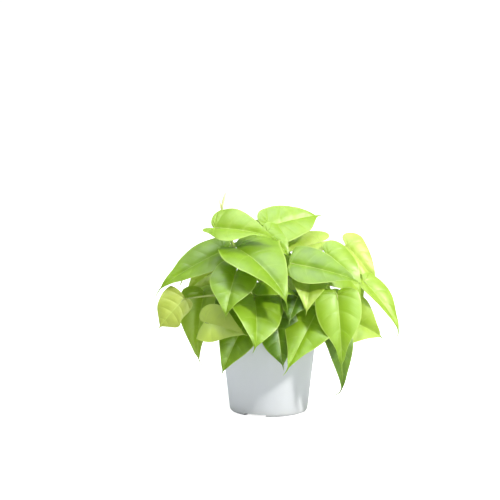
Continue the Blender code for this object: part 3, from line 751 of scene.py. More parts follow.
def leaf_material():
    material, tree, shader = new_material("heartleaf")
    place = object_place(tree)
    blade = attribute(tree, "blade", out="Vector")
    tone = attribute(tree, "tone")
    pattern = use_group(tree, veins, {"Blade": blade, "Rib mm": attribute(tree, "rib_mm")})
    surface = use_group(tree, grain, {"Place": place, "Grains per m": 2200.0, "Patches per m": 70.0})
    mottled = surface.other("Mottling")
    # The tone blends the greens: partly the leaf's age, partly painted shade and painted light laid on
    # whole leaves.
    past_old_and_shaded = smooth_step(tree, tone + (mottled - 0.5) * 0.35, 0.0, 0.5)
    toward_young_and_lit = smooth_step(tree, tone + (mottled - 0.5) * 0.35, 0.5, 1.0)
    colour = blend_colours(tree, past_old_and_shaded, OLD_AND_SHADED_GREEN, MIDDLE_GREEN)
    colour = blend_colours(tree, toward_young_and_lit, colour, YOUNG_AND_LIT_GREEN)
    yellowing = attribute(tree, "yellowing")
    colour = blend_colours(tree, yellowing, colour, YELLOWED)
    line = pattern * 0.5 + pattern.other("Side Veins") * (0.09 - yellowing * 0.07)
    colour = blend_colours(tree, line, colour, VEIN_GREEN)
    # A pale band along each margin is a painted highlight, where the leaf's edge catches the light.
    colour = blend_colours(tree, pattern.other("Margin") * 0.45, colour, VEIN_GREEN)
    below = attribute(tree, "underside")
    colour = blend_colours(tree, below * 0.45, colour, UNDERSIDE_GREEN)
    tree.links.new(colour.socket, shader.inputs["Base Color"])
    shader.inputs["Specular IOR Level"].default_value = 0.75
    shader.inputs["Sheen Weight"].default_value = 0.08
    shader.inputs["Sheen Roughness"].default_value = 0.45
    shader.inputs["Sheen Tint"].default_value = (0.8, 1.0, 0.95, 1)
    rough = 0.33 + mottled * 0.16 + below * 0.2
    tree.links.new(rough.socket, shader.inputs["Roughness"])
    relief = surface * 0.25 - pattern.other("Side Veins") * 0.8 - pattern * 0.6
    normal = bump(tree, relief, 0.00012)
    tree.links.new(normal.socket, shader.inputs["Normal"])
    glow = tree.nodes.new("ShaderNodeBsdfTranslucent")
    light = blend_colours(tree, 0.35, colour, (0.85, 1.0, 0.08, 1))
    tree.links.new(light.socket, glow.inputs["Color"])
    mix = tree.nodes.new("ShaderNodeMixShader")
    mix.inputs["Fac"].default_value = LEAF_GLOW
    tree.links.new(shader.outputs[0], mix.inputs[1])
    tree.links.new(glow.outputs[0], mix.inputs[2])
    output = tree.nodes["Material Output"]
    tree.links.new(mix.outputs[0], output.inputs["Surface"])
    return material


heartleaf = leaf_material()
print("material:", heartleaf.name)

# %% [markdown]
# ## All the blades
# Each row's midrib is drawn, and the tree grows the blade on it. A seeded draw gives each blade
# its own waves, so that no two are alike, and the same plant grows each time.

# %% Grow the blades
def add_blade(number, leaf):
    line, arc = midrib_line(leaf)
    piece = add_line("blade_" + leaf.name, line * MM)
    grow(piece, blade_tree, {
        "Outline": half_heart,
        "Facing": [float(v) for v in leaf_axes(leaf)[1]],
        "Half Width": float(leaf.width * arc * MM),
        "Left Share": float(leaf.share[0]),
        "Right Share": float(leaf.share[1]),
        "Left Lobe": float(leaf.lobe * leaf.lobes[0]),
        "Right Lobe": float(leaf.lobe * leaf.lobes[1]),
        "Left Shoulder": float(leaf.shoulder[0]),
        "Right Shoulder": float(leaf.shoulder[1]),
        "Left Blunt": float(leaf.blunt[0]),
        "Right Blunt": float(leaf.blunt[1]),
        "Drip": float(leaf.drip),
        "Fold": float(leaf.fold),
        "Roll": float(leaf.roll),
        "Twist": float(leaf.twist),
        "Wave Height": float(leaf.wave) * MM,
        "Buckle": float(leaf.buckle) * MM,
        "Tone": float(leaf.tone),
        "Yellowing": float(leaf.yellowing),
        "Seed": number * 1.37,
        "Material": heartleaf,
    })
    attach(piece, "root")
    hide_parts("leaf_" + leaf.name)
    return piece


blades = [add_blade(number, leaf) for number, leaf in enumerate(LEAVES)]
print(len(blades), "blades,", sum(len(b.data.polygons) for b in blades), "faces")

# %% [markdown]
# ## Vines and leaf stalks
# A vine is a smooth green stem with a swollen joint wherever a leaf left it, and at each joint
# sits a short papery sheath that once wrapped the young leaf. The stalk leaves the joint
# upwards, thin and round, and arches over to run into the blade's midrib from below.
# All of them are tubes along lines, so one tree makes them: a fluted ring swept along each
# line at the radius stored in its points, with a sheath set at the foot of each stalk. The
# lines follow the same rule as the coarse stems, so that each ends under its blade.

# %% The lines of vines and stalks
HOLE_DEPTH = 26.0
VINE_RADIUS = 2.4
VINE_TOP_RADIUS = 1.7
VINE_COLLAR = 6.0
VINE_STRAIGHT = 0.45
VINE_LEAN = 0.3
VINE_STEPS = 60
JOINT_SWELL = 0.6
JOINT_LENGTH = 2.2
STALK_RADIUS = 1.3
STALK_TOP_RADIUS = 0.95
STALK_STEPS = 26
STALK_RISE = 0.6
STALK_LEAVES = 0.35
STALK_ARRIVES = 0.3
SEAT_DEPTH = 0.9
RUN_IN = 7.0


def vine_line(vine):
    """A vine rises straight out of the soil and then leans over to its top."""
    root = np.array([*vine.root, SOIL_LEVEL - HOLE_DEPTH / 4])
    collar = np.array([*vine.root, SOIL_LEVEL + VINE_COLLAR])
    top = np.asarray(vine.top, float)
    rise = top[2] - collar[2]
    upright = collar + [0, 0, rise * VINE_STRAIGHT]
    lean = top - unit(top - collar) * rise * VINE_LEAN
    return np.vstack([[root], bezier((collar, upright, lean, top), VINE_STEPS)])


def point_on(path, share):
    """The point a share of the way up a vine's free part."""
    free = path[1:]
    along = np.concatenate([[0], np.cumsum(np.linalg.norm(np.diff(free, axis=0), axis=1))])
    return np.array([np.interp(share * along[-1], along, free[:, k]) for k in range(3)])


def stalk_line(leaf, vine_points):
    """A stalk from its joint to its blade, and on along the midrib's underside."""
    start = point_on(vine_points, leaf.node)
    midrib, arc = midrib_line(leaf)
    s = np.linspace(-LOBE_REACH, 1 + leaf.drip, MIDRIB_STEPS + 1)
    ahead = RUN_IN / arc
    points = [np.array([np.interp(at, s, midrib[:, k]) for k in range(3)]) for at in (0, ahead)]
    rib = unit(points[1] - points[0])
    keel = leaf_axes(leaf)[1]
    keel = unit(keel - rib * (keel @ rib))
    arrive = unit(keel * 0.85 + rib * 0.35)
    end = np.asarray(leaf.base, float) + rib - keel * SEAT_DEPTH
    reach = np.linalg.norm(end - start)
    sway = np.asarray(leaf.sway, float)
    outward = unit(unit(end - start) + [0, 0, STALK_RISE])
    leaves = start + outward * reach * STALK_LEAVES + sway * 1.5
    arrives = end - arrive * reach * STALK_ARRIVES + sway * 0.5
    run_in = bezier((end, end + arrive * 1.5, points[1] - rib * 2 - keel * 0.3, points[1] - keel * 0.15), 5)
    return np.vstack([bezier((start, leaves, arrives, end), STALK_STEPS), run_in[1:]])


def vine_radii(path, shares):
    """The vine's radius along its line, with a swelling at each joint."""
    along = np.concatenate([[0], np.cumsum(np.linalg.norm(np.diff(path, axis=0), axis=1))])
    radii = np.interp(along, [0, along[-1]], [VINE_RADIUS, VINE_TOP_RADIUS])
    free = along - along[1]
    for share in shares:
        radii += JOINT_SWELL * np.exp(-(((free - share * free[-1]) / JOINT_LENGTH) ** 2))
    radii[-1] *= 0.35
    radii[-2] *= 0.8
    return radii


vine_lines = [vine_line(vine) for vine in VINES]
print("vines are", [round(float(line[-1][2] - SOIL_LEVEL)) for line in vine_lines], "mm tall")


# %% The stems tree
def stems_tree():
    tree, x = new_tree(
        "Stems and sheaths",
        "GeometryNodeTree",
        {
            "Geometry": (GEOMETRY, None),
            "Sides": (INTEGER, 14),
            "Flute Count": (FLOAT, 4.0),
            "Flute Depth": (FLOAT, 0.05),
            "Sheath": (OBJECT, None),
            "Sheath Size": (FLOAT, 1.0),
            "Seed": (INTEGER, 1),
            "Stem Material": (MATERIAL, None),
            "Sheath Material": (MATERIAL, None),
        },
        {"Geometry": GEOMETRY},
    )
    lines = add_node(tree, "GeometryNodeMeshToCurve", {"Mesh": x["Geometry"]})
    ring = add_node(tree, "GeometryNodeCurvePrimitiveCircle", {"Resolution": x["Sides"], "Radius": 1.0})
    place = add_node(tree, "GeometryNodeInputPosition")
    flat = add_node(tree, "ShaderNodeSeparateXYZ", {"Vector": place})
    angle = compute(tree, "ARCTAN2", flat.other("Y"), flat)
    flute = (angle * x["Flute Count"]).op("COSINE") * x["Flute Depth"] + 1
    ring = add_node(tree, "GeometryNodeSetPosition", {"Geometry": ring, "Position": place * flute})
    thickness = named_number(tree, "thickness")
    tubes = add_node(
        tree, "GeometryNodeCurveToMesh",
        {"Curve": lines, "Profile Curve": ring, "Scale": thickness, "Fill Caps": True},
    )
    tubes = add_node(tree, "GeometryNodeSetShadeSmooth", {"Geometry": tubes})
    tubes = add_node(tree, "GeometryNodeSetMaterial", {"Geometry": tubes, "Material": x["Stem Material"]})
    foot = add_node(tree, "GeometryNodeCurveEndpointSelection", {"Start Size": 1, "End Size": 0})
    chosen = foot.op("MULTIPLY", named_number(tree, "stalk"))
    tangent = add_node(tree, "GeometryNodeInputTangent")
    aim = add_node(tree, "FunctionNodeAlignRotationToVector", {"Vector": tangent}, axis="Z")
    size = add_node(
        tree, "FunctionNodeRandomValue", {2: 0.8, 3: 1.25, "Seed": x["Seed"]}, out=1, data_type="FLOAT"
    )
    sheath = add_node(tree, "GeometryNodeObjectInfo", {"Object": x["Sheath"]}, out="Geometry")
    sheaths = add_node(
        tree, "GeometryNodeInstanceOnPoints",
        {
            "Points": lines,
            "Selection": chosen,
            "Instance": sheath,
            "Rotation": aim,
            "Scale": size * x["Sheath Size"],
        },
    )
    sheaths = add_node(
        tree, "GeometryNodeSetMaterial", {"Geometry": sheaths, "Material": x["Sheath Material"]}
    )
    both = add_node(tree, "GeometryNodeJoinGeometry")
    for part in (sheaths, tubes):
        tree.links.new(part.socket, both.socket.node.inputs[0])
    whole = add_node(tree, "GeometryNodeRealizeInstances", {"Geometry": both})
    return end_tree(tree, {"Geometry": whole})


stem_tree = stems_tree()
print("stems tree:", len(stem_tree.nodes), "nodes")


# %% The sheath
SHEATH_LENGTH = 9.0
SHEATH_RADIUS = 1.7
SHEATH_WRAP = 210
SHEATH_THICKNESS = 0.25


def draw_sheath():
    """A short pointed scale that wraps the foot of a stalk, open on one side."""
    rows, columns = 10, 12
    points, faces = [], []
    for i in range(rows + 1):
        t = i / rows
        wrap = math.radians(SHEATH_WRAP) * (1 - t ** 1.6) + 0.12
        radius = SHEATH_RADIUS * (1 + 0.35 * t)
        for k in range(columns + 1):
            angle = wrap * (k / columns - 0.5)
            lean = 1.4 * t * t
            points.append(
                (radius * math.cos(angle) * MM + lean * MM, radius * math.sin(angle) * MM,
                 (SHEATH_LENGTH * t - 1.0) * MM)
            )
    for i in range(rows):
        for k in range(columns):
            a = i * (columns + 1) + k
            faces.append((a, a + 1, a + columns + 2, a + columns + 1))
    item = add_mesh("sheath_pattern", points, faces=faces)
    wall = item.modifiers.new("wall", "SOLIDIFY")
    wall.thickness = SHEATH_THICKNESS * MM
    wall.offset = -1
    return apply_modifiers(item)


sheath_pattern = draw_sheath()
print("sheath:", len(sheath_pattern.data.polygons), "faces")

# %% [markdown]
# ## The colour of stems
# Young stems are yellowish green with fine lengthwise streaks, and turn pinkish brown around
# the joints. The sheaths dry to straw. Both use the shared grain.

# %% Stem, sheath and new leaf materials
STEM_GREEN = (0.34, 0.44, 0.10, 1)
STALK_GREEN = (0.40, 0.48, 0.12, 1)
JOINT_BROWN = (0.36, 0.24, 0.10, 1)
STRAW = (0.55, 0.45, 0.22, 1)


def stem_material():
    material, tree, shader = new_material("vine_green")
    place = object_place(tree)
    stretched = add_node(tree, "ShaderNodeMapping", {"Vector": place, "Scale": (1, 1, 0.12)})
    streaks = use_group(
        tree, grain, {"Place": stretched, "Grains per m": 2600.0, "Patches per m": 200.0}
    )
    colour = blend_colours(tree, attribute(tree, "stalk"), STEM_GREEN, STALK_GREEN)
    colour = blend_colours(tree, attribute(tree, "joint") * 0.7, colour, JOINT_BROWN)
    pale = smooth_step(tree, streaks.other("Mottling"), 0.45, 0.75) * 0.35
    colour = blend_colours(tree, pale, colour, VEIN_GREEN)
    tree.links.new(colour.socket, shader.inputs["Base Color"])
    rough = streaks * 0.2 + 0.38
    tree.links.new(rough.socket, shader.inputs["Roughness"])
    tree.links.new(bump(tree, streaks, 0.0001, 0.6).socket, shader.inputs["Normal"])
    return material


def straw_material():
    material, tree, shader = new_material("dry_sheath")
    fibres = use_group(
        tree, grain, {"Place": object_place(tree), "Grains per m": 3000.0, "Patches per m": 300.0}
    )
    colour = blend_colours(tree, fibres.other("Mottling"), JOINT_BROWN, STRAW)
    tree.links.new(colour.socket, shader.inputs["Base Color"])
    shader.inputs["Roughness"].default_value = 0.7
    tree.links.new(bump(tree, fibres, 0.0001).socket, shader.inputs["Normal"])
    return material


vine_green = stem_material()
dry_sheath = straw_material()
print("materials:", vine_green.name, dry_sheath.name)

# %% Grow the vines
def add_stems(index, vine):
    """One vine with its stalks, as lines with a thickness, grown into tubes."""
    leaves = [leaf for leaf in LEAVES if leaf.vine == index]
    lines = [vine_lines[index]] + [stalk_line(leaf, vine_lines[index]) for leaf in leaves]
    points = np.vstack(lines)
    edges, thickness, stalk, joint = [], [], [], []
    for number, line in enumerate(lines):
        first = len(thickness)
        edges += [(first + k, first + k + 1) for k in range(len(line) - 1)]
        if number == 0:
            radii = vine_radii(line, [leaf.node for leaf in leaves])
            thickness += list(radii * MM)
            joint += list(np.clip((radii - VINE_RADIUS) / JOINT_SWELL, 0, 1))
        else:
            run = np.linspace(0, 1, len(line))
            radii = np.interp(run, [0, 0.08, 0.8, 1], [1.9, STALK_RADIUS, STALK_TOP_RADIUS, 0.3])
            thickness += list(radii * MM)
            joint += list(np.clip(1 - run * 9, 0, 1))
        stalk += [float(number > 0)] * len(line)
    piece = add_mesh("stems_" + vine.name, points * MM, edges=edges)
    for name, values in (("thickness", thickness), ("stalk", stalk), ("joint", joint)):
        stored = piece.data.attributes.new(name, "FLOAT", "POINT")
        stored.data.foreach_set("value", [float(v) for v in values])
    grow(piece, stem_tree, {
        "Sheath": sheath_pattern,
        "Seed": index,
        "Stem Material": vine_green,
        "Sheath Material": dry_sheath,
    })
    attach(piece, "root")
    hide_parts(vine.name)
    return piece


stems = [add_stems(index, vine) for index, vine in enumerate(VINES)]
bpy.data.objects.remove(sheath_pattern, do_unlink=True)
print(len(stems), "vines,", sum(len(s.data.polygons) for s in stems), "faces")

# %% [markdown]
# ## The new shoot
# At the top of the longest vine a new leaf stands rolled like a scroll, pale yellow, beside the
# sheath that it came out of. A scroll is a tube whose ring doesn't close smoothly: the radius
# grows on the way round, and the step is the leaf's free edge. A plain cone would look like a
# thorn.

# %% The rolled leaf and its sheath
SHOOT_GAP = 0.4
SHOOT_TIP = (4.5, -1, 22)
SHOOT_RADII = (1.0, 1.7, 1.8, 1.5, 1.1, 0.75, 0.4)
SHEATH_TIP = (-2.5, -1, 13)
SHEATH_RADII = (0.9, 1.3, 1.1, 0.8, 0.4)
SCROLL_SIDES = 20
SCROLL_STEP = 0.22


def scroll(path, radii):
    """Rings along a path whose radius grows once round. Gives points, faces and places."""
    run = np.linspace(0, 1, len(path))
    radii = np.interp(run, np.linspace(0, 1, len(radii)), radii)
    points, faces, places = [], [], []
    for row, (centre, radius) in enumerate(zip(path, radii)):
        for k in range(SCROLL_SIDES):
            share = k / (SCROLL_SIDES - 1)
            angle = TURN * share * 0.97 + 0.8 + 2.2 * run[row]
            wide = radius * (1 - SCROLL_STEP * share)
            points.append(centre + [wide * math.cos(angle), wide * math.sin(angle), 0])
            places.append((run[row], share, run[row]))
    rings = len(path)
    for i in range(rings - 1):
        for k in range(SCROLL_SIDES):
            n = (k + 1) % SCROLL_SIDES
            a, b = i * SCROLL_SIDES + k, i * SCROLL_SIDES + n
            faces.append((a, b, b + SCROLL_SIDES, a + SCROLL_SIDES))
    faces.append(tuple(range(SCROLL_SIDES))[::-1])
    faces.append(tuple((rings - 1) * SCROLL_SIDES + k for k in range(SCROLL_SIDES)))
    return points, faces, places


def new_leaf_material():
    material, tree, shader = new_material("new_leaf")
    pattern = use_group(
        tree, veins, {"Blade": attribute(tree, "blade", out="Vector"), "Rib mm": 9.0, "Pairs": 9.0}
    )
    fibres = use_group(
        tree, grain, {"Place": object_place(tree), "Grains per m": 2400.0, "Patches per m": 250.0}
    )
    colour = blend_colours(tree, fibres.other("Mottling"), (0.74, 0.78, 0.26, 1), (0.84, 0.86, 0.5, 1))
    colour = blend_colours(tree, pattern.other("Side Veins") * 0.3, colour, VEIN_GREEN)
    tree.links.new(colour.socket, shader.inputs["Base Color"])
    shader.inputs["Roughness"].default_value = 0.42
    tree.links.new(bump(tree, fibres, 0.0001, 0.5).socket, shader.inputs["Normal"])
    return material


def add_new_shoot():
    start = np.array(VINES[0].top) + [0, 0, SHOOT_GAP - 1.2]
    tip = start + SHOOT_TIP + [0, 0, 1.2]
    leaf = bezier((start, start + [0, 0, 9], tip - [2, 0, 6], tip), 24)
    foot, sheath_tip = start + [0, 0, 2], start + SHEATH_TIP + [0, 0, 1.2]
    sheath = bezier((foot, start + [-1, 0, 6], sheath_tip - [0, 0, 4], sheath_tip), 16)
    points, faces, places = scroll(leaf, SHOOT_RADII)
    more_points, more_faces, more_places = scroll(sheath, SHEATH_RADII)
    faces += [tuple(v + len(points) for v in face) for face in more_faces]
    piece = add_mesh("new_leaf_scroll", np.array(points + more_points) * MM, faces=faces)
    stored = piece.data.attributes.new("blade", "FLOAT_VECTOR", "POINT")
    stored.data.foreach_set("vector", [v for place in places + more_places for v in place])
    piece.data.materials.append(new_leaf_material())
    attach(piece, "root")
    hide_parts("new_shoot")
    return piece


shoot = add_new_shoot()
print("new shoot:", len(shoot.data.polygons), "faces")

# %% [markdown]
# ## The pot
# A thin injection-moulded pot: a tapered wall, a rolled rim, a rounded bottom edge, and a foot
# ring that three notches let water and air under. It is one profile turned round the axis,
# with the notches and drain holes cut out afterwards. The profile's corners are arcs, because
# a moulded edge always has a radius, and light catches on it.

# %% The pot's profile
POT_HEIGHT = 106.0
POT_TOP_RADIUS = 60.0
POT_FOOT_RADIUS = 48.2
POT_WALL = 1.6
RIM_OUT = 1.4
RIM_HEIGHT = 6.0
BOTTOM_ROUNDING = 5.0
FOOT_HEIGHT = 3.3
FOOT_INNER_RADIUS = 38.0
FOOT_OUTER_RADIUS = 44.4
FOOT_DRAFT = 1.2
CENTRE_PAD_RADIUS = 18.0
CENTRE_PAD_DRAFT = 2.0
FLOOR_TOP = 5.2
POT_SIDES = 180
FOOT_NOTCHES = 3
FOOT_NOTCH_ANGLE = 36.0
FOOT_NOTCH_HEIGHT = 3.0
FIRST_NOTCH_ANGLE = -112.6
DRAIN_HOLES = 6
DRAIN_HOLE_RADIUS = 4.0
DRAIN_CIRCLE_RADIUS = 29.0
FIRST_DRAIN_ANGLE = 33.0


def outer_radius(height):
    """The pot's outer radius at a height."""
    slope = (POT_TOP_RADIUS - POT_FOOT_RADIUS) / (POT_HEIGHT - BOTTOM_ROUNDING)
    return POT_FOOT_RADIUS + slope * (height - BOTTOM_ROUNDING)


def arc_points(centre, radius, start, stop, steps=6):
    """An arc of a profile, its angles in degrees."""
    angles = np.radians(np.linspace(start, stop, steps + 1))
    return [(centre[0] + radius * math.cos(a), centre[1] + radius * math.sin(a)) for a in angles]


def pot_profile():
    """Radius and height from the axis under the floor, up the outside, down the inside."""
    points = [(0, 0)]
    points += arc_points((CENTRE_PAD_RADIUS - 0.5, 0.5), 0.5, -90, -30, 3)
    points += [(CENTRE_PAD_RADIUS + CENTRE_PAD_DRAFT, FOOT_HEIGHT), (FOOT_INNER_RADIUS, FOOT_HEIGHT)]
    points += arc_points((FOOT_INNER_RADIUS + FOOT_DRAFT + 0.5, 0.5), 0.5, 200, 270, 3)
    width = POT_FOOT_RADIUS - FOOT_OUTER_RADIUS
    for k in range(13):
        turn = math.radians(90 * k / 12)
        height = BOTTOM_ROUNDING * (1 - math.cos(turn))
        points.append((FOOT_OUTER_RADIUS + width * math.sin(turn), height))
    low = POT_HEIGHT - RIM_HEIGHT
    points += [(outer_radius(h), h) for h in np.linspace(BOTTOM_ROUNDING + 12, low - 1, 8)]
    points += arc_points((outer_radius(low) + 0.7, low - 0.7), 0.7, 180, 90, 4)
    points += arc_points((outer_radius(low) + RIM_OUT - 0.6, low + 0.6), 0.6, -80, 0, 4)
    points += arc_points((POT_TOP_RADIUS + RIM_OUT - 1.0, POT_HEIGHT - 1.0), 1.0, 0, 90, 6)
    points += arc_points((POT_TOP_RADIUS - POT_WALL + 0.6, POT_HEIGHT - 0.6), 0.6, 90, 180, 4)
    points += [(outer_radius(h) - POT_WALL, h) for h in np.linspace(POT_HEIGHT - 3, FLOOR_TOP + 4, 8)]
    corner = outer_radius(FLOOR_TOP) - POT_WALL - 3
    points += arc_points((corner, FLOOR_TOP + 3), 3, 0, -90, 6)
    return points + [(0, FLOOR_TOP)]


def turned(profile, sides):
    """A closed profile turned round Z: its points and faces, with poles on the axis."""
    points, faces, rings = [], [], []
    for radius, height in profile:
        on_axis = radius < 1e-6
        rings.append([len(points) + (0 if on_axis else k) for k in range(sides)])
        for k in range(1 if on_axis else sides):
            angle = TURN * k / sides
            points.append((radius * math.cos(angle), radius * math.sin(angle), height))
    for lower, upper in zip(rings, rings[1:]):
        for k in range(sides):
            n = (k + 1) % sides
            corners = [lower[k], lower[n], upper[n], upper[k]]
            face = [v for i, v in enumerate(corners) if v != corners[i - 1]]
            faces.append(tuple(face))
    return points, faces


def cut(item, points, faces):
    """Takes a shape, given in millimetres, out of an object."""
    cutter = add_mesh("cutter", np.array(points) * MM, faces=faces)
    modifier = item.modifiers.new("cut", "BOOLEAN")
    modifier.object = cutter
    modifier.operation = "DIFFERENCE"
    apply_modifiers(item)
    bpy.data.objects.remove(cutter, do_unlink=True)


def notch_shape(middle):
    """A curved block across the foot ring."""
    steps = 12
    points, faces = [], []
    for k in range(steps + 1):
        angle = math.radians(middle - FOOT_NOTCH_ANGLE / 2 + FOOT_NOTCH_ANGLE * k / steps)
        for radius in (FOOT_INNER_RADIUS - 1, POT_FOOT_RADIUS + 6):
            for height in (-2.0, FOOT_NOTCH_HEIGHT):
                points.append((radius * math.cos(angle), radius * math.sin(angle), height))
    loop = (0, 2, 3, 1)
    faces.append(loop)
    for k in range(steps):
        for a, b in zip(loop, loop[1:] + loop[:1]):
            faces.append((4 * k + b, 4 * k + a, 4 * k + 4 + a, 4 * k + 4 + b))
    faces.append(tuple(4 * steps + v for v in loop[::-1]))
    return points, faces


def add_pot(material):
    points, faces = turned(pot_profile(), POT_SIDES)
    piece = add_mesh("pot_shell", np.array(points) * MM, faces=faces)
    for number in range(FOOT_NOTCHES):
        cut(piece, *notch_shape(FIRST_NOTCH_ANGLE + 360 * number / FOOT_NOTCHES))
    for number in range(DRAIN_HOLES):
        angle = math.radians(FIRST_DRAIN_ANGLE + 360 * number / DRAIN_HOLES)
        low, high, radius = FOOT_HEIGHT - 2, FLOOR_TOP + 3, DRAIN_HOLE_RADIUS
        points, faces = turned([(0, low), (radius, low), (radius, high), (0, high)], 40)
        aside = [DRAIN_CIRCLE_RADIUS * math.cos(angle), DRAIN_CIRCLE_RADIUS * math.sin(angle), 0]
        cut(piece, np.array(points) + aside, faces)
    piece.data.set_sharp_from_angle(angle=math.radians(35))
    piece.data.materials.clear()
    piece.data.materials.append(material)
    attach(piece, "root")
    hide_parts("pot")
    return piece


# %% The pot's plastic
POT_WHITE = (0.70, 0.72, 0.76, 1)
POT_DUST = (0.64, 0.65, 0.65, 1)


def pot_material():
    material, tree, shader = new_material("white_plastic")
    place = object_place(tree)
    surface = use_group(
        tree, grain, {"Place": place, "Grains per m": 1800.0, "Patches per m": 28.0}
    )
    height = add_node(tree, "ShaderNodeSeparateXYZ", {"Vector": place}, out="Z")
    low = smooth_step(tree, height, 0.012, 0.0) * 0.5
    dust = low + smooth_step(tree, surface.other("Mottling"), 0.5, 0.8) * 0.25
    colour = blend_colours(tree, dust, POT_WHITE, POT_DUST)
    tree.links.new(colour.socket, shader.inputs["Base Color"])
    rough = surface.other("Mottling") * 0.2 + 0.34
    tree.links.new(rough.socket, shader.inputs["Roughness"])
    tree.links.new(bump(tree, surface, 0.00008, 0.5).socket, shader.inputs["Normal"])
    return material


pot = add_pot(pot_material())
print("pot:", len(pot.data.polygons), "faces")

# %% [markdown]
# ## The potting mix
# Nursery soil is peat crumbs, a few bark chips and white grains of perlite. The ground under
# them is a domed disc with slow lumps. A tree scatters the grains over it, each kind from its
# own seed, because hundreds of small things of one kind are what instances are for.

# %% The soil
SOIL_DOME = 2.5
SOIL_DEPTH = 12.0
SOIL_RADIUS = outer_radius(SOIL_LEVEL) - POT_WALL - 0.3
GRAIN_MARGIN = 2.5


def add_soil_ground():
    """A domed, lumpy disc with a skirt that hides inside the pot."""
    rng = random.Random(11)
    bumps = [(rng.uniform(-50, 50), rng.uniform(-50, 50), rng.uniform(-1.1, 1.1)) for _ in range(60)]
    rings, sides = 24, 96
    profile = [(0, SOIL_LEVEL - SOIL_DEPTH), (SOIL_RADIUS - 1.5, SOIL_LEVEL - SOIL_DEPTH)]
    for k in range(rings):
        share = k / rings
        rise = SOIL_DOME * math.sin(share * math.pi / 2)
        profile.append((SOIL_RADIUS * (1 - share), SOIL_LEVEL + rise))
    profile.append((0, SOIL_LEVEL + SOIL_DOME))
    points, faces = turned(profile, sides)
    lumpy = []
    for x, y, z in points:
        on_top = z > SOIL_LEVEL - 1
        lift = sum(h * math.exp(-((x - a) ** 2 + (y - b) ** 2) / 60) for a, b, h in bumps)
        lumpy.append((x, y, z + (lift if on_top else 0)))
    return add_mesh("potting_mix", np.array(lumpy) * MM, faces=faces)


def add_crumb(name, stretch, seed):
    """A small irregular grain with few faces, one millimetre in radius."""
    rng = random.Random(seed)
    shape = bmesh.new()
    bmesh.ops.create_icosphere(shape, subdivisions=1, radius=MM)
    for vertex in shape.verts:
        size = rng.uniform(0.7, 1.15)
        vertex.co = [v * s * size for v, s in zip(vertex.co, stretch)]
    item = add_mesh(name, [])
    shape.to_mesh(item.data)
    shape.free()
    return item


def earth_material(name, dark, light, roughness, grains):
    material, tree, shader = new_material(name)
    surface = use_group(
        tree, grain, {"Place": object_place(tree), "Grains per m": grains, "Patches per m": 400.0}
    )
    mottled = smooth_step(tree, surface.other("Mottling"), 0.35, 0.65)
    tree.links.new(blend_colours(tree, mottled, dark, light).socket, shader.inputs["Base Color"])
    shader.inputs["Roughness"].default_value = roughness
    tree.links.new(bump(tree, surface, 0.0006).socket, shader.inputs["Normal"])
    return material


peat = earth_material("peat", (0.018, 0.012, 0.008, 1), (0.07, 0.045, 0.028, 1), 0.95, 1500.0)
bark = earth_material("bark", (0.06, 0.028, 0.014, 1), (0.16, 0.08, 0.04, 1), 0.85, 900.0)
perlite = earth_material("perlite", (0.62, 0.60, 0.56, 1), (0.85, 0.84, 0.80, 1), 0.9, 1200.0)
Grain = namedtuple("Grain", "name stretch per_square_metre smallest largest material")
GRAINS = (
    Grain("Peat", (1, 1, 0.7), 260000.0, 0.35, 1.5, peat),
    Grain("Bark", (2.6, 1.2, 0.5), 14000.0, 0.7, 1.5, bark),
    Grain("Perlite", (1, 1, 0.9), 9000.0, 0.5, 1.4, perlite),
)
print("soil radius:", round(SOIL_RADIUS, 1), "mm")


# %% The scatter tree
def scatter_layer(tree, x, kind, selection, number):
    """Grains of one kind, spread over the selected faces, each turned and sized by chance."""
    seed = x["Seed"] + number
    points = add_node(
        tree, "GeometryNodeDistributePointsOnFaces",
        {
            "Mesh": x["Geometry"],
            "Selection": selection,
            "Density": x[kind.name + " Per Square Metre"],
            "Seed": seed,
        },
    )
    spin = add_node(
        tree, "FunctionNodeRandomValue", {0: (0, 0, 0), 1: (TURN, TURN, TURN), "Seed": seed},
        data_type="FLOAT_VECTOR",
    )
    size = add_node(
        tree, "FunctionNodeRandomValue",
        {2: x[kind.name + " Smallest"], 3: x[kind.name + " Largest"], "Seed": seed},
        out=1, data_type="FLOAT",
    )
    shape = add_node(tree, "GeometryNodeObjectInfo", {"Object": x[kind.name + " Grain"]}, out="Geometry")
    rotation = add_node(tree, "FunctionNodeEulerToRotation", {"Euler": spin})
    grains = add_node(
        tree, "GeometryNodeInstanceOnPoints",
        {"Points": points, "Instance": shape, "Rotation": rotation, "Scale": size},
    )
    return add_node(
        tree, "GeometryNodeSetMaterial", {"Geometry": grains, "Material": x[kind.name + " Material"]}
    )


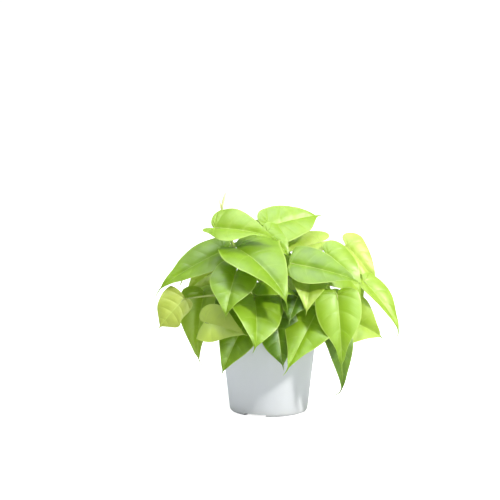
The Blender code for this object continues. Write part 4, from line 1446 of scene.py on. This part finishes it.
def scatter_tree():
    inputs = {
        "Geometry": (GEOMETRY, None),
        "Ground Radius": (FLOAT, 0.05),
        "Ground Level": (FLOAT, 0.09),
        "Ground Material": (MATERIAL, None),
        "Seed": (INTEGER, 0),
    }
    for kind in GRAINS:
        inputs[kind.name + " Grain"] = (OBJECT, None)
        inputs[kind.name + " Per Square Metre"] = (FLOAT, kind.per_square_metre)
        inputs[kind.name + " Smallest"] = (FLOAT, kind.smallest)
        inputs[kind.name + " Largest"] = (FLOAT, kind.largest)
        inputs[kind.name + " Material"] = (MATERIAL, None)
    tree, x = new_tree("Scattered grains", "GeometryNodeTree", inputs, {"Geometry": GEOMETRY})
    place = add_node(tree, "GeometryNodeInputPosition")
    flat = add_node(tree, "ShaderNodeSeparateXYZ", {"Vector": place})
    from_axis = (flat * flat + flat.other("Y") * flat.other("Y")).op("SQRT")
    inside = from_axis.op("LESS_THAN", x["Ground Radius"])
    on_top = inside * flat.other("Z").op("GREATER_THAN", x["Ground Level"])
    ground = add_node(
        tree, "GeometryNodeSetMaterial", {"Geometry": x["Geometry"], "Material": x["Ground Material"]}
    )
    both = add_node(tree, "GeometryNodeJoinGeometry")
    tree.links.new(ground.socket, both.socket.node.inputs[0])
    for number, kind in enumerate(GRAINS):
        layer = scatter_layer(tree, x, kind, on_top, number)
        tree.links.new(layer.socket, both.socket.node.inputs[0])
    whole = add_node(tree, "GeometryNodeRealizeInstances", {"Geometry": both})
    return end_tree(tree, {"Geometry": whole})


def add_soil():
    piece = add_soil_ground()
    crumbs = [add_crumb(kind.name, kind.stretch, 3 + k) for k, kind in enumerate(GRAINS)]
    values = {
        "Ground Radius": (SOIL_RADIUS - GRAIN_MARGIN) * MM,
        "Ground Level": (SOIL_LEVEL - 2) * MM,
        "Ground Material": peat,
        "Seed": 4,
    }
    for kind, crumb in zip(GRAINS, crumbs):
        values[kind.name + " Grain"] = crumb
        values[kind.name + " Material"] = kind.material
    grow(piece, scatter_tree(), values)
    for crumb in crumbs:
        bpy.data.objects.remove(crumb, do_unlink=True)
    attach(piece, "root")
    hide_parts("soil")
    return piece


soil = add_soil()
print("soil:", len(soil.data.polygons), "faces")

# %% [markdown]
# ## The light
# The photograph was taken in a bright white room. One soft box stands high on the right, a
# little in front of the plant: the leaf shadows on the pot fall to the left and down. A wide
# cool panel hangs overhead. The waxy leaves mirror a window at the right front and the bright
# ceiling as a pale gloss, and little of the walls, so their green stays deep. The rest of the
# light comes from the white walls and ceiling. Only the camera's side of the room is dim, which
# keeps the shade between the leaves deep. The ground is a white table that looks as though lit
# from below, as is used to photograph goods without a shadow. Room and table look whiter than
# the light that they give, because an even light that strong would wash the plant's own shadows
# out.

# %% Floor, world and lamps
ROOM_SEEN = 1.1
ROOM_LIGHT = 0.92
ROOM_FRONT = 0.22
ROOM_MIRRORED = 0.4
WINDOW_MIRRORED = 8.0
CEILING_MIRRORED = 3.5
WINDOW_TOWARDS = (0.55, -0.72, 0.42)
ROOM_COLOUR = (0.95, 0.98, 1.0, 1)
LAMP_COLOUR = (1.0, 0.985, 0.94)
PANEL_COLOUR = (0.88, 0.96, 1.0)
TABLE_GLOW = 0.9
floor = add_mesh(
    "floor", [(-6, -6, 0), (6, -6, 0), (6, 6, 0), (-6, 6, 0)], faces=[(0, 1, 2, 3)], smooth=False
)
white, table, shader = new_material("white_table")
shader.inputs["Base Color"].default_value = (0.68, 0.68, 0.68, 1)
shader.inputs["Roughness"].default_value = 0.9
shader.inputs["Emission Color"].default_value = (1, 1, 1, 1)
glow = add_node(table, "ShaderNodeLightPath", out="Is Camera Ray") * TABLE_GLOW
table.links.new(glow.socket, shader.inputs["Emission Strength"])
floor.data.materials.append(white)

world = bpy.data.worlds.new("white_room")
world.use_nodes = True
room = world.node_tree
seen = add_node(room, "ShaderNodeLightPath", out="Is Camera Ray")
around = add_node(room, "ShaderNodeTexCoord", out="Generated")
look = add_node(room, "ShaderNodeSeparateXYZ", {"Vector": around})
away = smooth_step(room, look.other("Y") + look.other("Z") * 0.8, -0.5, 0.4)
given = away * (ROOM_LIGHT - ROOM_FRONT) + ROOM_FRONT
mirrored = add_node(room, "ShaderNodeLightPath", out="Is Glossy Ray")
window = smooth_step(room, around.op("DOT_PRODUCT", WINDOW_TOWARDS), 0.8, 0.97)
ceiling = smooth_step(room, look.other("Z"), 0.75, 0.97)
bright = window * WINDOW_MIRRORED + ceiling * CEILING_MIRRORED
given = given + mirrored * (given * (ROOM_MIRRORED - 1) + bright)
room_strength = seen * (ROOM_SEEN - given) + given
background = room.nodes["Background"]
background.inputs["Color"].default_value = ROOM_COLOUR
room.links.new(room_strength.socket, background.inputs["Strength"])
bpy.context.scene.world = world


def add_lamp(name, place, aim, size, power, colour=(1, 1, 1)):
    light = bpy.data.lights.new(name, "AREA")
    light.shape = "DISK"
    light.size = size
    light.energy = power
    light.color = colour
    lamp = bpy.data.objects.new(name, light)
    lamp.location = place
    lamp.rotation_euler = (Vector(aim) - Vector(place)).to_track_quat("-Z", "Y").to_euler()
    bpy.context.scene.collection.objects.link(lamp)


add_lamp("key", (1.01, -0.85, 1.25), (0, 0, 0.1), 0.17, 26, LAMP_COLOUR)
add_lamp("panel", (-0.1, -0.25, 1.6), (0, 0, 0.15), 1.1, 15, PANEL_COLOUR)
bpy.context.scene.view_settings.view_transform = "Standard"
print("the light is on")

# %% [markdown]
# ## Close the scene
# The drawn outline was only a guide, and it is removed.

# %% Finish
bpy.data.objects.remove(half_heart, do_unlink=True)
